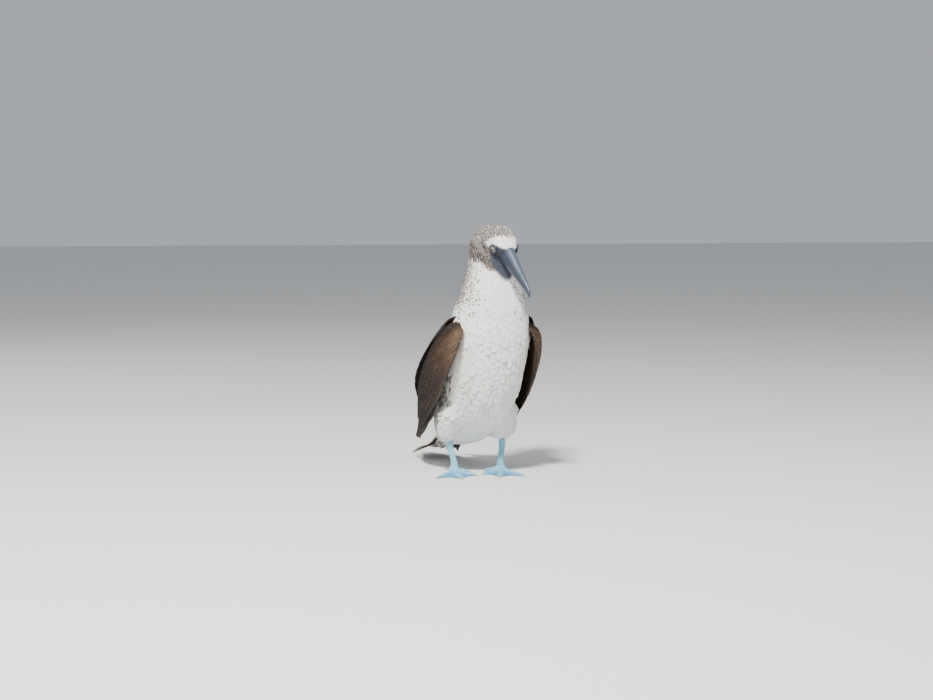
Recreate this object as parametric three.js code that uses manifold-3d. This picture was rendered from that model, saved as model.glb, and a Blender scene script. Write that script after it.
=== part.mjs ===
// A life-size still model of an adult blue-footed booby standing upright on both webbed feet, its bill held low.
// Millimetres, +Z up. The bird looks along -Y, its right side lies at -X, and its soles stand on Z = 0.
// Places are written as (x, ahead, z), where ahead is the distance in front of the ankles, so y = -ahead.
import * as THREE from "three";
import { mergeVertices } from "three/addons/utils/BufferGeometryUtils.js";
import Module from "manifold-3d";

const wasm = await Module();
wasm.setup();

// Driving dimensions
const GAP = 0.3; // clearance between touching pieces
const RIGHT = -1; // sign of x on the bird's right side
const LEFT = 1;
const BILL_LENGTH = 101; // along the ridge, from the forehead feathers
const BILL_ROOT = -5; // where the bill starts inside the face, measured along the bill's axis
const HEAD_PITCH = 49; // degrees the bill points below level
const HEAD_YAW = 9; // degrees the head is turned to the bird's left
const CULMEN = { x: 19.4, ahead: 108, z: 395 }; // where the bill's ridge leaves the forehead
const EYE = { along: -13.5, up: -18, out: 19.5, radius: 6.6 };
const EYELID = { ring: 6.9, tube: 1.7, out: 3.4 };
const HEEL = { x: 51, ahead: -8, z: 57 }; // where the bare leg enters the thigh feathers
const ANKLE_Z = 12;
const ANKLE_X = 42;
const TIDY = 0.02; // slivers thinner than this are closed up
const VANE_THICK = 1.1;
const VANE_PITCH = 1.9; // height from one stacked vane to the next

const MATERIALS = {
  plumage_white: { color: 0xe9e6e0, roughness: 0.85 },
  plumage_speckled: { color: 0xa99a88, roughness: 0.85 },
  wing_brown: { color: 0x3e3129, roughness: 0.75 },
  tail_brown: { color: 0x5a4c42, roughness: 0.75 },
  bill_slate: { color: 0x5c6a7d, roughness: 0.45 },
  foot_blue: { color: 0x6fb4dc, roughness: 0.55 },
  claw_grey: { color: 0x9aa3a6, roughness: 0.4 },
  eye_yellow: { color: 0xd9cf8a, roughness: 0.1 },
};

const at = (x, ahead, z) => new THREE.Vector3(x, -ahead, z);
const radians = THREE.MathUtils.degToRad;

// A Catmull-Rom reading of rows of numbers, with t running from 0 to the last row's index.
function readRows(rows, t) {
  const i = Math.min(Math.max(Math.floor(t), 0), rows.length - 2);
  const f = t - i;
  const row = (k) => rows[Math.min(Math.max(k, 0), rows.length - 1)];
  return rows[0].map((_, c) => {
    const [a, b, d, e] = [row(i - 1)[c], row(i)[c], row(i + 1)[c], row(i + 2)[c]];
    return 0.5 * (2 * b + (d - a) * f + (2 * a - 5 * b + 4 * d - e) * f * f + (3 * b - a - 3 * d + e) * f ** 3);
  });
}

// A closed solid from loose triangles. It is turned right side out if they face inwards.
function solidFromTriangles(points, triangles) {
  const positions = new Float32Array(triangles.flat().flatMap((i) => points[i].toArray()));
  const loose = new THREE.BufferGeometry().setAttribute("position", new THREE.BufferAttribute(positions, 3));
  const merged = mergeVertices(loose, 1e-4);
  const index = Array.from(merged.index.array);
  const kept = [];
  let volume = 0;
  const [a, b, c] = [new THREE.Vector3(), new THREE.Vector3(), new THREE.Vector3()];
  for (let i = 0; i < index.length; i += 3) {
    const [p, q, r] = index.slice(i, i + 3);
    if (p === q || q === r || r === p) continue;
    kept.push(p, q, r);
    [a, b, c].forEach((v, k) => v.fromBufferAttribute(merged.attributes.position, index[i + k]));
    volume += a.dot(b.cross(c));
  }
  if (volume < 0) kept.reverse();
  return new wasm.Manifold(
    new wasm.Mesh({
      numProp: 3,
      vertProperties: merged.attributes.position.array,
      triVerts: new Uint32Array(kept),
    }),
  );
}

// Rings of points joined side by side, each end closed by a fan to its middle. Where mirrored says so, a strip's
// four-sided faces are split the other way, which keeps both faces of a thin sheet alike.
function loft(rings, mirrored = () => false) {
  const n = rings[0].length;
  const points = rings.flat();
  const triangles = [];
  for (let j = 0; j + 1 < rings.length; j++)
    for (let i = 0; i < n; i++) {
      const [a, b] = [j * n + i, j * n + ((i + 1) % n)];
      if (mirrored(i)) triangles.push([a, b, a + n], [b, b + n, a + n]);
      else triangles.push([a, b, b + n], [a, b + n, a + n]);
    }
  for (const [ring, first, turn] of [
    [rings[0], 0, true],
    [rings[rings.length - 1], (rings.length - 1) * n, false],
  ]) {
    const middle = ring.reduce((sum, p) => sum.add(p), new THREE.Vector3()).divideScalar(n);
    points.push(middle);
    for (let i = 0; i < n; i++) {
      const [a, b] = [first + i, first + ((i + 1) % n)];
      triangles.push(turn ? [points.length - 1, b, a] : [points.length - 1, a, b]);
    }
  }
  return solidFromTriangles(points, triangles);
}

// A superellipse's unit point at an angle, fuller than a circle as squareness passes 2.
function oval(angle, squareness = 2.15) {
  const bend = (v) => Math.sign(v) * Math.abs(v) ** (2 / squareness);
  return [bend(Math.cos(angle)), bend(Math.sin(angle))];
}

const largest = (solid) => solid.decompose().sort((p, q) => q.volume() - p.volume())[0];
const joined = (solids) => solids.reduce((sum, s) => sum.add(s));

// Trunk and neck. Each row is a slice from the tail's root to inside the head:
// back edge (ahead, z), belly edge (ahead, z), half width, sideways shift.
const TRUNK = [
  [-156, 62, -150, 34, 20, 0],
  [-132, 94, -108, 35, 38, 0],
  [-102, 138, -52, 43, 54, 0],
  [-68, 182, 8, 64, 63, 0],
  [-36, 224, 58, 104, 67, 0],
  [-10, 262, 92, 164, 70, 1],
  [6, 296, 108, 228, 71, 2],
  [13, 326, 109, 280, 63, 4],
  [12, 354, 100, 318, 53, 7],
  [10, 380, 92, 350, 46, 9],
  [13, 402, 88, 374, 43, 9],
  [20, 420, 78, 396, 39, 9],
  [31, 430, 70, 414, 26, 10],
];

function trunkRing(t, count, grow = 0) {
  const [backAhead, backZ, bellyAhead, bellyZ, half, shift] = readRows(TRUNK, t);
  const middle = at(shift, (backAhead + bellyAhead) / 2, (backZ + bellyZ) / 2);
  const toBack = at(0, backAhead - bellyAhead, backZ - bellyZ).divideScalar(2);
  toBack.setLength(toBack.length() + grow);
  return Array.from({ length: count }, (_, i) => {
    const [side, rise] = oval((2 * Math.PI * i) / count);
    return middle.clone().add(at((half + grow) * side, 0, 0)).addScaledVector(toBack, rise);
  });
}

function trunk(slices, count, grow = 0) {
  const last = TRUNK.length - 1;
  return loft(Array.from({ length: slices + 1 }, (_, j) => trunkRing((last * j) / slices, count, grow)));
}

// The head's own axes: along the bill, up across it, and out to either side.
const headAxes = (() => {
  const [pitch, yaw] = [radians(HEAD_PITCH), radians(HEAD_YAW)];
  const level = at(Math.sin(yaw), Math.cos(yaw), 0);
  return {
    along: level.clone().multiplyScalar(Math.cos(pitch)).add(at(0, 0, -Math.sin(pitch))),
    up: level.clone().multiplyScalar(Math.sin(pitch)).add(at(0, 0, Math.cos(pitch))),
    side: at(Math.cos(yaw), -Math.sin(yaw), 0),
  };
})();

function inHead(along, up, out) {
  return at(CULMEN.x, CULMEN.ahead, CULMEN.z)
    .addScaledVector(headAxes.along, along)
    .addScaledVector(headAxes.up, up)
    .addScaledVector(headAxes.side, out);
}

// Slices of the feathered head from the bill to the nape: along, top, bottom, half width.
const SKULL = [
  [3, -1, -33, 13],
  [-4, 4, -37, 18.5],
  [-12, 6.5, -42, 23.5],
  [-22, 7, -47, 29],
  [-34, 5.5, -52, 34],
  [-47, 1, -55, 37.5],
  [-59, -7, -55, 35.5],
  [-69, -17, -51, 29],
  [-76, -27, -44, 16],
];

function skull(slices, count) {
  return loft(
    Array.from({ length: slices + 1 }, (_, j) => {
      const [along, top, bottom, half] = readRows(SKULL, ((SKULL.length - 1) * j) / slices);
      return Array.from({ length: count }, (_, i) => {
        const [side, rise] = oval((2 * Math.PI * i) / count, 2.05);
        return inHead(along, (top + bottom) / 2 + ((top - bottom) / 2) * rise, half * side);
      });
    }),
  );
}

// Rows of the bill: along, ridge or keel height, height of the mouth line, half width.
const UPPER_BILL = [
  [BILL_ROOT, -1, -23.5, 13.5],
  [0, 0, -20.5, 13],
  [20, 0.4, -17, 11],
  [42, 0.3, -13.5, 8.8],
  [64, 0.9, -10, 6.7],
  [82, 1.2, -7.4, 4.7],
  [93, -0.6, -6.6, 3],
  [99, -3.6, -7.6, 1.6],
  [BILL_LENGTH + 1, -7.2, -9, 0.5],
];
const LOWER_BILL = [
  [BILL_ROOT, -36, -24, 12.6],
  [0, -33, -21, 12.2],
  [22, -28, -17.2, 10],
  [46, -21.8, -13.4, 7.4],
  [68, -15.8, -9.8, 5],
  [86, -10.6, -7.3, 2.8],
  [95, -8.2, -7.2, 0.8],
];
// Half outlines of a mandible, as (share of width, share of height from the mouth line), with the side groove.
const UPPER_OUTLINE = [
  [1, 0],
  [0.99, 0.22],
  [0.9, 0.4],
  [0.89, 0.5],
  [0.76, 0.7],
  [0.45, 0.92],
  [0.15, 1],
];
const LOWER_OUTLINE = [
  [1, 0],
  [0.97, 0.3],
  [0.8, 0.62],
  [0.5, 0.88],
  [0.18, 1],
];

function mandible(rows, outline, grow = 0) {
  const whole = [...outline, ...outline.map(([w, h]) => [-w, h]).reverse()];
  const slices = 2 * (rows.length - 1);
  return loft(
    Array.from({ length: slices + 1 }, (_, j) => {
      const [along, edge, mouth, half] = readRows(rows, ((rows.length - 1) * j) / slices);
      const sign = Math.sign(edge - mouth);
      const start = grow > 0 && j === 0 ? -grow : 0;
      return whole.map(([w, h]) => {
        const height = h === 0 ? mouth - sign * grow : mouth + (edge - mouth) * h + sign * grow * h;
        return inHead(along + start, height + sign * (grow > 0 ? 0 : GAP / 2) * (h === 0), (half + grow) * w);
      });
    }),
  );
}

function ball(centre, radius, segments = 16) {
  const sphere = new THREE.SphereGeometry(radius, segments, Math.round(segments / 2) + 2);
  sphere.deleteAttribute("normal").deleteAttribute("uv").translate(centre.x, centre.y, centre.z);
  return geometrySolid(sphere);
}

function geometrySolid(geometry) {
  const flat = geometry.toNonIndexed();
  const p = flat.attributes.position;
  const points = Array.from({ length: p.count }, (_, i) => new THREE.Vector3().fromBufferAttribute(p, i));
  const triangles = Array.from({ length: p.count / 3 }, (_, i) => [3 * i, 3 * i + 1, 3 * i + 2]);
  return solidFromTriangles(points, triangles);
}

const eyeCentre = (sign) => inHead(EYE.along, EYE.up, sign * EYE.out);

// The raised ring of bare lid skin round an eye.
function eyelid(sign) {
  const ring = new THREE.TorusGeometry(EYELID.ring, EYELID.tube, 6, 16);
  ring.deleteAttribute("normal").deleteAttribute("uv");
  const outward = headAxes.side.clone().multiplyScalar(sign).addScaledVector(headAxes.along, 0.35).normalize();
  ring.applyQuaternion(new THREE.Quaternion().setFromUnitVectors(new THREE.Vector3(0, 0, 1), outward));
  const centre = eyeCentre(sign).addScaledVector(outward, EYELID.out);
  return geometrySolid(ring.translate(centre.x, centre.y, centre.z));
}

// The line of the mouth runs back into the face as a thin groove below the eye.
function mouthLine(sign) {
  const groove = new THREE.BoxGeometry(9, 22, 0.9);
  groove.deleteAttribute("normal").deleteAttribute("uv");
  const turn = new THREE.Matrix4().makeBasis(headAxes.side, headAxes.along, headAxes.up);
  const centre = inHead(BILL_ROOT - 9, -27.5, sign * 27);
  return geometrySolid(groove.applyMatrix4(turn).translate(centre.x, centre.y, centre.z));
}

// A wing's folded sheet. Rows run from the wrist to the wing tip: ahead, z, out, half width, degrees of inward lean.
const WING = [
  [84, 262, 60, 24, 0],
  [66, 240, 77, 38, 2],
  [30, 203, 87, 46, 4],
  [-16, 156, 89, 48, 8],
  [-66, 114, 77, 44, 18],
  [-118, 84, 57, 35, 32],
  [-172, 61, 39, 25, 44],
  [-222, 43, 25, 16, 52],
  [-262, 30, 15, 8, 56],
];
const WING_HUG = 1 / 125; // how fast the sheet drops away from its middle line, to lie round the body

// The point of a right or left wing's sheet at share s along it, w millimetres across towards the back, h above.
function onWing(sign, share, w, h) {
  const last = WING.length - 1;
  const read = (t) => readRows(WING, Math.min(Math.max(t, 0), last));
  const t = share * last;
  const [ahead, z, out, , lean] = read(t);
  const [a0, z0, x0] = read(t - 0.25);
  const [a1, z1, x1] = read(t + 0.25);
  const run = at(x1 - x0, a1 - a0, z1 - z0).normalize();
  const outward = at(Math.cos(radians(lean)), 0, Math.sin(radians(lean)));
  outward.addScaledVector(run, -outward.dot(run)).normalize();
  const across = run.clone().cross(outward).normalize();
  if (across.z < 0) across.negate();
  const p = at(out, ahead, z).addScaledVector(across, w).addScaledVector(outward, h - w * w * WING_HUG);
  p.x *= sign;
  return p;
}

const wingHalf = (share) => readRows(WING, share * (WING.length - 1))[3];

// The feathered arm and hand: a full body that thins towards the back edge and the rear.
const ARM_END = 0.5;
function wingArm(sign) {
  const slices = 13;
  const count = 18;
  return loft(
    Array.from({ length: slices + 1 }, (_, j) => {
      const f = j / slices;
      const share = ARM_END * f;
      const nose = Math.sqrt(Math.min(1, 0.03 + f * 4.2));
      const thick = 15.4 * nose * (1 - 0.5 * f ** 2);
      const half = wingHalf(share) * (0.35 + 0.65 * nose) * (1 - 0.12 * f);
      return Array.from({ length: count }, (_, i) => {
        const [side, rise] = oval((2 * Math.PI * i) / count, 2.3);
        return onWing(sign, share, half * side, thick * (0.42 + 0.5 * rise));
      });
    }),
  );
}

// One feather: a thin leaf along a sheet, with a raised shaft line. place(share, w, h) gives its points.
function vane(place, { from, to, half, blunt = 0.45, stations = [0, 0.36, 0.7, 0.9, 1] }) {
  return loft(
    stations.map((t) => {
      const [share, w, h] = from.map((v, k) => v + (to[k] - v) * t);
      const swell = 0.62 + 0.38 * Math.sin(Math.PI * Math.min(1, t * 1.25));
      const taper = Math.max(0, 1 - t) ** blunt;
      const reach = Math.max(0.5, half * swell * Math.min(1, taper * 1.25));
      const thin = VANE_THICK / 2;
      return [
        place(share, w - reach, h + thin),
        place(share, w, h + thin + 0.3),
        place(share, w + reach, h + thin),
        place(share, w + reach, h - thin),
        place(share, w, h - thin + 0.3),
        place(share, w - reach, h - thin),
      ];
    }),
    (strip) => strip > 2,
  );
}

// Rows of wing feathers, lowest first. Each runs from a root inside the arm to its tip:
// count, root share, root across, tip share, tip across, height and half width, first feather to last.
const WING_FEATHERS = [
  { name: "primaries", count: 4, root: [0.41, -0.5, 0.12], tip: [1, 0.84, 0, 0.35], height: 0.8, half: 9.5 },
  { name: "secondaries", count: 5, root: [0.35, -0.66, 0.74], tip: [0.66, 0.74, -0.8, 0.72], height: 6, half: 10 },
  { name: "coverts", count: 4, root: [0.2, -0.68, 0.74], tip: [0.5, 0.47, -0.82, 0.78], height: 6.4, half: 9.5 },
];

function wingFeathers(sign) {
  const made = [];
  for (const tier of WING_FEATHERS)
    for (let i = 0; i < tier.count; i++) {
      const f = i / (tier.count - 1);
      const [rootShare, rootFirst, rootLast] = tier.root;
      const [tipShare, tipShareLast, tipFirst, tipLast] = tier.tip;
      const endShare = tipShare + (tipShareLast - tipShare) * f;
      const h = tier.height + i * VANE_PITCH;
      const rise = tier.name === "coverts" ? 7.6 : 0;
      made.push(
        vane((s, w, height) => onWing(sign, s, w, height), {
          from: [rootShare, (rootFirst + (rootLast - rootFirst) * f) * wingHalf(rootShare), h * (rise ? 0.8 : 1)],
          to: [endShare, (tipFirst + (tipLast - tipFirst) * f) * wingHalf(endShare) * 0.82, h + rise],
          half: tier.half,
          blunt: tier.name === "primaries" ? 0.6 : 0.4,
        }),
      );
    }
  return made;
}

// Tail. A point at share along its middle line, w across and h above it.
const TAIL = [
  [-146, 52],
  [-178, 36],
  [-214, 24],
  [-250, 14.5],
  [-286, 9.5],
];
function onTail(share, w, h) {
  const t = share * (TAIL.length - 1);
  const [ahead, z] = readRows(TAIL, t);
  const [a1, z1] = readRows(TAIL, t + 0.2);
  const [a0, z0] = readRows(TAIL, t - 0.2);
  const run = at(0, a1 - a0, z1 - z0).normalize();
  const rise = at(1, 0, 0).cross(run).normalize();
  if (rise.z < 0) rise.negate();
  return at(w, ahead, z).addScaledVector(rise, h - (w * w) / 260);
}

const TAIL_FEATHERS = 12;
const TAIL_HALF = 11;
function tail() {
  const coverts = loft(
    Array.from({ length: 9 }, (_, j) => {
      const f = j / 8;
      return Array.from({ length: 18 }, (_, i) => {
        const [side, rise] = oval((2 * Math.PI * i) / 18);
        const shrink = Math.sqrt(1 - 0.96 * f * f);
        return onTail(0.42 * f - 0.02, 21 * shrink * side, 13 * shrink * rise * (1 - 0.35 * f) - 1);
      });
    }),
  );
  const pieces = [coverts];
  for (let i = 0; i < TAIL_FEATHERS; i++) {
    const pair = Math.floor(i / 2);
    const sign = i % 2 ? 1 : -1;
    pieces.push(
      vane(onTail, {
        from: [0.1, sign * (2 + pair * 1.8), 4.6 - i * 0.95],
        to: [1 - 0.055 * pair ** 1.25, sign * (3 + pair * 8.6), 4.2 - i * 0.85],
        half: TAIL_HALF,
        blunt: 0.62,
      }),
    );
  }
  return joined(pieces);
}

// Legs
function thigh(sign) {
  const rows = [
    [34, 16, 142, 12, 16],
    [43, 12, 122, 22, 31],
    [47, 5, 102, 24, 32],
    [51, -1, 82, 23.5, 26],
    [51.5, -6, 66, 19.5, 21],
    [HEEL.x, HEEL.ahead, HEEL.z, 15, 16],
  ];
  return loft(
    Array.from({ length: 11 }, (_, j) => {
      const [x, ahead, z, wide, deep] = readRows(rows, ((rows.length - 1) * j) / 10);
      return Array.from({ length: 20 }, (_, i) => {
        const [c, s] = oval((2 * Math.PI * i) / 20);
        return at(sign * (x + wide * c), ahead + deep * s, z);
      });
    }),
  );
}

const ankle = (sign) => ({ x: sign * ANKLE_X, ahead: sign * 4 });

function tarsus(sign) {
  const foot = ankle(sign);
  const rows = [
    [sign * HEEL.x, HEEL.ahead, HEEL.z - GAP, 7, 8],
    [sign * (HEEL.x - 1.5), HEEL.ahead + 1, HEEL.z - 9, 6, 7.2],
    [(sign * HEEL.x + foot.x) / 2, (HEEL.ahead + foot.ahead) / 2, 34, 5.2, 6.4],
    [foot.x, foot.ahead - 1, ANKLE_Z + 8, 5.6, 6.6],
    [foot.x, foot.ahead, ANKLE_Z + GAP, 6.8, 7.6],
  ];
  return loft(
    Array.from({ length: 9 }, (_, j) => {
      const [x, ahead, z, wide, deep] = readRows(rows, j / 2);
      return Array.from({ length: 16 }, (_, i) => {
        const [c, s] = oval((2 * Math.PI * i) / 16);
        return at(x + wide * c, ahead + deep * s, z);
      });
    }),
  );
}

// Toes: turn from the middle toe in degrees, outward positive, length without claw, claw length, half width.
const TOES = [
  { name: "hind", turn: -80, length: 25, claw: 8, half: 3 },
  { name: "inner", turn: -31, length: 57, claw: 9, half: 3.7 },
  { name: "middle", turn: 0, length: 80, claw: 11, half: 4.2 },
  { name: "outer", turn: 31, length: 78, claw: 9, half: 4 },
];
const FOOT_TURN = { [RIGHT]: 11, [LEFT]: -22 }; // degrees each middle toe points outward

function onFoot(sign, turn, reach, z, aside = 0) {
  const angle = radians(FOOT_TURN[sign] + turn);
  const { x, ahead } = ankle(sign);
  const forward = [sign * Math.sin(angle), Math.cos(angle)];
  return at(x + forward[0] * reach + forward[1] * aside, ahead + forward[1] * reach - forward[0] * aside, z);
}

const toeHeight = (reach) => 5.6 + 5.5 * Math.exp(-reach / 20);

function toe(sign, { turn, length, half }) {
  const slices = 8;
  return loft(
    Array.from({ length: slices + 1 }, (_, j) => {
      const f = j / slices;
      const reach = length * f;
      const knuckle = 1 + 0.1 * Math.cos(f * 6 * Math.PI);
      const wide = half * (1.25 - 0.5 * f) * knuckle;
      const high = toeHeight(reach) * (1 - 0.25 * f) * (0.96 + 0.04 * knuckle);
      return [
        [-0.85, 0],
        [-1, 0.42],
        [-0.7, 0.84],
        [0, 1],
        [0.7, 0.84],
        [1, 0.42],
        [0.85, 0],
      ].map(([w, h]) => onFoot(sign, turn, reach, high * h, wide * w));
    }),
  );
}

// The web between two neighbouring toes, its rim scalloped, draped from the toes' height down to the floor.
function web(sign, first, second) {
  const [rows, columns] = [5, 6];
  const points = [];
  const rim = (f) => (first.length + (second.length - first.length) * f) * 0.95 * (1 - 0.16 * Math.sin(Math.PI * f));
  for (const under of [0, 1])
    for (let j = 0; j <= rows; j++)
      for (let i = 0; i <= columns; i++) {
        const f = i / columns;
        const reach = 5 + (rim(f) - 5) * (j / rows);
        const turn = first.turn + (second.turn - first.turn) * f;
        const top = 1.9 + 7 * Math.exp(-reach / 17) + 1.1 * Math.cos(2 * Math.PI * f) * Math.min(1, reach / 40);
        points.push(onFoot(sign, turn, reach, under ? Math.max(0.4, top - 1.5) : top));
      }
  const wide = columns + 1;
  const layer = (rows + 1) * wide;
  const triangles = [];
  for (let j = 0; j < rows; j++)
    for (let i = 0; i < columns; i++) {
      const a = j * wide + i;
      triangles.push([a, a + 1, a + wide + 1], [a, a + wide + 1, a + wide]);
      triangles.push(
        [layer + a, layer + a + wide + 1, layer + a + 1],
        [layer + a, layer + a + wide, layer + a + wide + 1],
      );
    }
  const border = [
    ...Array.from({ length: columns }, (_, i) => i),
    ...Array.from({ length: rows }, (_, j) => j * wide + columns),
    ...Array.from({ length: columns }, (_, i) => rows * wide + columns - i),
    ...Array.from({ length: rows }, (_, j) => (rows - j) * wide),
  ];
  border.forEach((a, k) => {
    const b = border[(k + 1) % border.length];
    triangles.push([a, layer + b, b], [a, layer + a, layer + b]);
  });
  return solidFromTriangles(points, triangles);
}

function foot(sign) {
  const { x, ahead } = ankle(sign);
  const rows = [
    [ANKLE_Z, 6.8, 7.6],
    [9, 8, 9],
    [5, 9.5, 10.5],
    [1.5, 9.5, 10.5],
    [0, 8.6, 9.6],
  ];
  const ankleBlock = loft(
    rows.map(([z, wide, deep]) =>
      Array.from({ length: 16 }, (_, i) => {
        const [c, s] = oval((2 * Math.PI * i) / 16);
        return at(x + wide * c, ahead + deep * s, z);
      }),
    ),
  );
  const webs = TOES.slice(1).map((second, i) => web(sign, TOES[i], second));
  const whole = joined([ankleBlock, ...TOES.map((t) => toe(sign, t)), ...webs]);
  return largest(whole.trimByPlane([0, 0, -1], -ANKLE_Z));
}

// A claw grows from its toe's end face and bends down to a blunt point just above the floor.
function claw(sign, { turn, length, claw: reach, half }) {
  const slices = 4;
  return loft(
    Array.from({ length: slices + 1 }, (_, j) => {
      const f = j / slices;
      const wide = half * 0.62 * (1 - 0.85 * f);
      const high = 3.4 * (1 - 0.86 * f);
      const low = 0.6;
      return Array.from({ length: 6 }, (_, i) => {
        const angle = (2 * Math.PI * i) / 6;
        const z = low + high / 2 + (high / 2) * Math.sin(angle) + 1.2 * Math.sin(Math.PI * f) * 0.5;
        return onFoot(sign, turn, length + GAP + reach * f, z, wide * Math.cos(angle));
      });
    }),
  );
}

// Assembly
const bird = new THREE.Group();

function add(name, material, solid) {
  const { vertProperties, triVerts, numProp } = largest(largest(solid).simplify(TIDY)).getMesh();
  const count = vertProperties.length / numProp;
  const positions = new Float32Array(count * 3);
  for (let i = 0; i < count; i++) positions.set(vertProperties.subarray(i * numProp, i * numProp + 3), 3 * i);
  const geometry = new THREE.BufferGeometry()
    .setAttribute("position", new THREE.BufferAttribute(positions, 3))
    .setIndex(new THREE.BufferAttribute(triVerts, 1));
  const mesh = new THREE.Mesh(geometry, new THREE.MeshStandardMaterial({ metalness: 0, ...MATERIALS[material] }));
  mesh.name = name;
  bird.add(mesh);
}

// A cutting plane across the throat and nape, and one across the neck's root, each given by its up and forward tilt.
const HEAD_CUT = { normal: at(0, 0.53, 0.85).normalize(), through: at(0, 15, 386) };
const NECK_CUT = { normal: at(0, 0.504, 0.864).normalize(), through: at(0, 10, 316) };
const above = (solid, cut, lift = 0) =>
  solid.trimByPlane(cut.normal.toArray(), cut.normal.dot(cut.through) + lift);
const below = (solid, cut) =>
  solid.trimByPlane(cut.normal.clone().negate().toArray(), -cut.normal.dot(cut.through));

const trunkSolid = trunk(32, 30);
const trunkGrown = trunk(32, 30, GAP);
const flesh = trunkSolid.add(skull(14, 26));

const upperBill = mandible(UPPER_BILL, UPPER_OUTLINE);
const lowerBill = mandible(LOWER_BILL, LOWER_OUTLINE);
const billSocket = mandible(UPPER_BILL, UPPER_OUTLINE, GAP).add(mandible(LOWER_BILL, LOWER_OUTLINE, GAP));

const sides = [
  ["right", RIGHT],
  ["left", LEFT],
];
const lids = sides.map(([, sign]) => eyelid(sign));
const eyeSockets = sides.map(([, sign]) => ball(eyeCentre(sign), EYE.radius + GAP));
const mouthLines = sides.map(([, sign]) => mouthLine(sign));
const head = joined([above(flesh, HEAD_CUT, GAP), ...lids])
  .subtract(joined([billSocket, ...eyeSockets, ...mouthLines]));

add("torso", "plumage_white", below(trunkSolid, NECK_CUT));
add("neck", "plumage_speckled", below(above(flesh, NECK_CUT, GAP), HEAD_CUT).subtract(billSocket));
add("head", "plumage_speckled", head);
add("bill_upper", "bill_slate", upperBill);
add("bill_lower", "bill_slate", lowerBill);
add("tail", "tail_brown", tail().subtract(trunkGrown));

for (const [side, sign] of sides) {
  add(`eye_${side}`, "eye_yellow", ball(eyeCentre(sign), EYE.radius));
  add(`wing_${side}`, "wing_brown", joined([wingArm(sign), ...wingFeathers(sign)]).subtract(trunkGrown));
  add(`thigh_${side}`, "plumage_white", thigh(sign).subtract(trunkGrown));
  add(`tarsus_${side}`, "foot_blue", tarsus(sign));
  add(`foot_${side}`, "foot_blue", foot(sign));
  for (const one of TOES) add(`claw_${one.name}_${side}`, "claw_grey", claw(sign, one));
}

// The origin is the middle of the whole bird's footprint, on the floor.
const box = new THREE.Box3().setFromObject(bird);
const centre = box.getCenter(new THREE.Vector3());
bird.position.set(-centre.x, -centre.y, -box.min.z);

export default bird;
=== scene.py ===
"""The looks of a life-size blue-footed booby: plumage, bill, eyes, bare legs, webs and claws.

Sizes are in millimetres unless a name ends in _m. Places are written as (x, ahead, z), where ahead is
the distance in front of the ankles, and Anatomy.place turns them into the frame's metres. A share runs
from 0 to 1 along a form, and a span holds the two ends of a ramp or of a row.
"""

import itertools
import logging
import math
from dataclasses import dataclass, field
from enum import Enum
from typing import Any, Callable, Sequence

import bmesh
import bpy
import numpy as np
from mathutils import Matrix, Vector


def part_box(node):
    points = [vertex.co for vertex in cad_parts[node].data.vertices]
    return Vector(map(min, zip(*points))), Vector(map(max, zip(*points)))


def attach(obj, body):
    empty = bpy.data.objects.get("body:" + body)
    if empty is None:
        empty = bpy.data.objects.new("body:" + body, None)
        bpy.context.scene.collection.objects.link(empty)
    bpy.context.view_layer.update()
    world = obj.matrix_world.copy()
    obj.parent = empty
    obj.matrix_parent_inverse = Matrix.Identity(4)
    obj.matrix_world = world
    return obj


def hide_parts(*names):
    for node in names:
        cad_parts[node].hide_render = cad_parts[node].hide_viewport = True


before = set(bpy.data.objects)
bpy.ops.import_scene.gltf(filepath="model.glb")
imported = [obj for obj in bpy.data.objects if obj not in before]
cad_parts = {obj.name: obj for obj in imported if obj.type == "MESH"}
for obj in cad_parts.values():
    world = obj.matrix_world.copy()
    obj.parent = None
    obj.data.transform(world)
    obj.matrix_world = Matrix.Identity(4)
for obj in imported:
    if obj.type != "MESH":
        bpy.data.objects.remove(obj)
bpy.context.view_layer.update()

LOG = logging.getLogger("booby")
MM = 0.001
SEED = 41
FOLD = 55  # faces that meet at more degrees than this keep a crisp edge
BAKE_PATCH = 0.003  # how much of the bake map one feather takes up
RIGHT = -1
LEFT = 1
SIDES = (("right", RIGHT), ("left", LEFT))
TOE_NAMES = ("hind", "inner", "middle", "outer")

Array = np.ndarray
Span = tuple[float, float]


def at(x: Any, ahead: Any, z: Any) -> Array:
    """A place in millimetres, from its sideways, forward and upward parts."""
    x, ahead, z = np.broadcast_arrays(np.asarray(x, float), -np.asarray(ahead, float), np.asarray(z, float))
    return np.stack([x, ahead, z], axis=-1)


def unit(v: Array) -> Array:
    """The vectors of v at length 1."""
    return v / np.maximum(np.linalg.norm(v, axis=-1, keepdims=True), 1e-9)


def dot(a: Array, b: Array) -> Array:
    """The scalar products of two lists of vectors."""
    return np.sum(a * b, axis=-1)


def ramp(value: Array, low: float, high: float) -> Array:
    """A smooth step from 0 at low to 1 at high."""
    t = np.clip((value - low) / (high - low), 0, 1)
    return t * t * (3 - 2 * t)


def step(value: float, low: float, high: float) -> float:
    """The ramp at one number."""
    return float(ramp(np.array(value), low, high))


def read_rows(rows: Sequence[Sequence[float]], t: Array) -> Array:
    """Reads a table by Catmull-Rom.

    Args:
        rows: The table's rows.
        t: Places along it, from 0 to the last row's index.

    Returns:
        One row of numbers for each place.
    """
    table = np.asarray(rows, float)
    t = np.clip(np.asarray(t, float), 0, len(table) - 1)
    i = np.minimum(t.astype(int), len(table) - 2)
    f = (t - i)[..., None]
    a, b, d, e = (table[np.clip(i + k, 0, len(table) - 1)] for k in (-1, 0, 1, 2))
    return 0.5 * (2 * b + (d - a) * f + (2 * a - 5 * b + 4 * d - e) * f**2 + (3 * b - a - 3 * d + e) * f**3)


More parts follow.
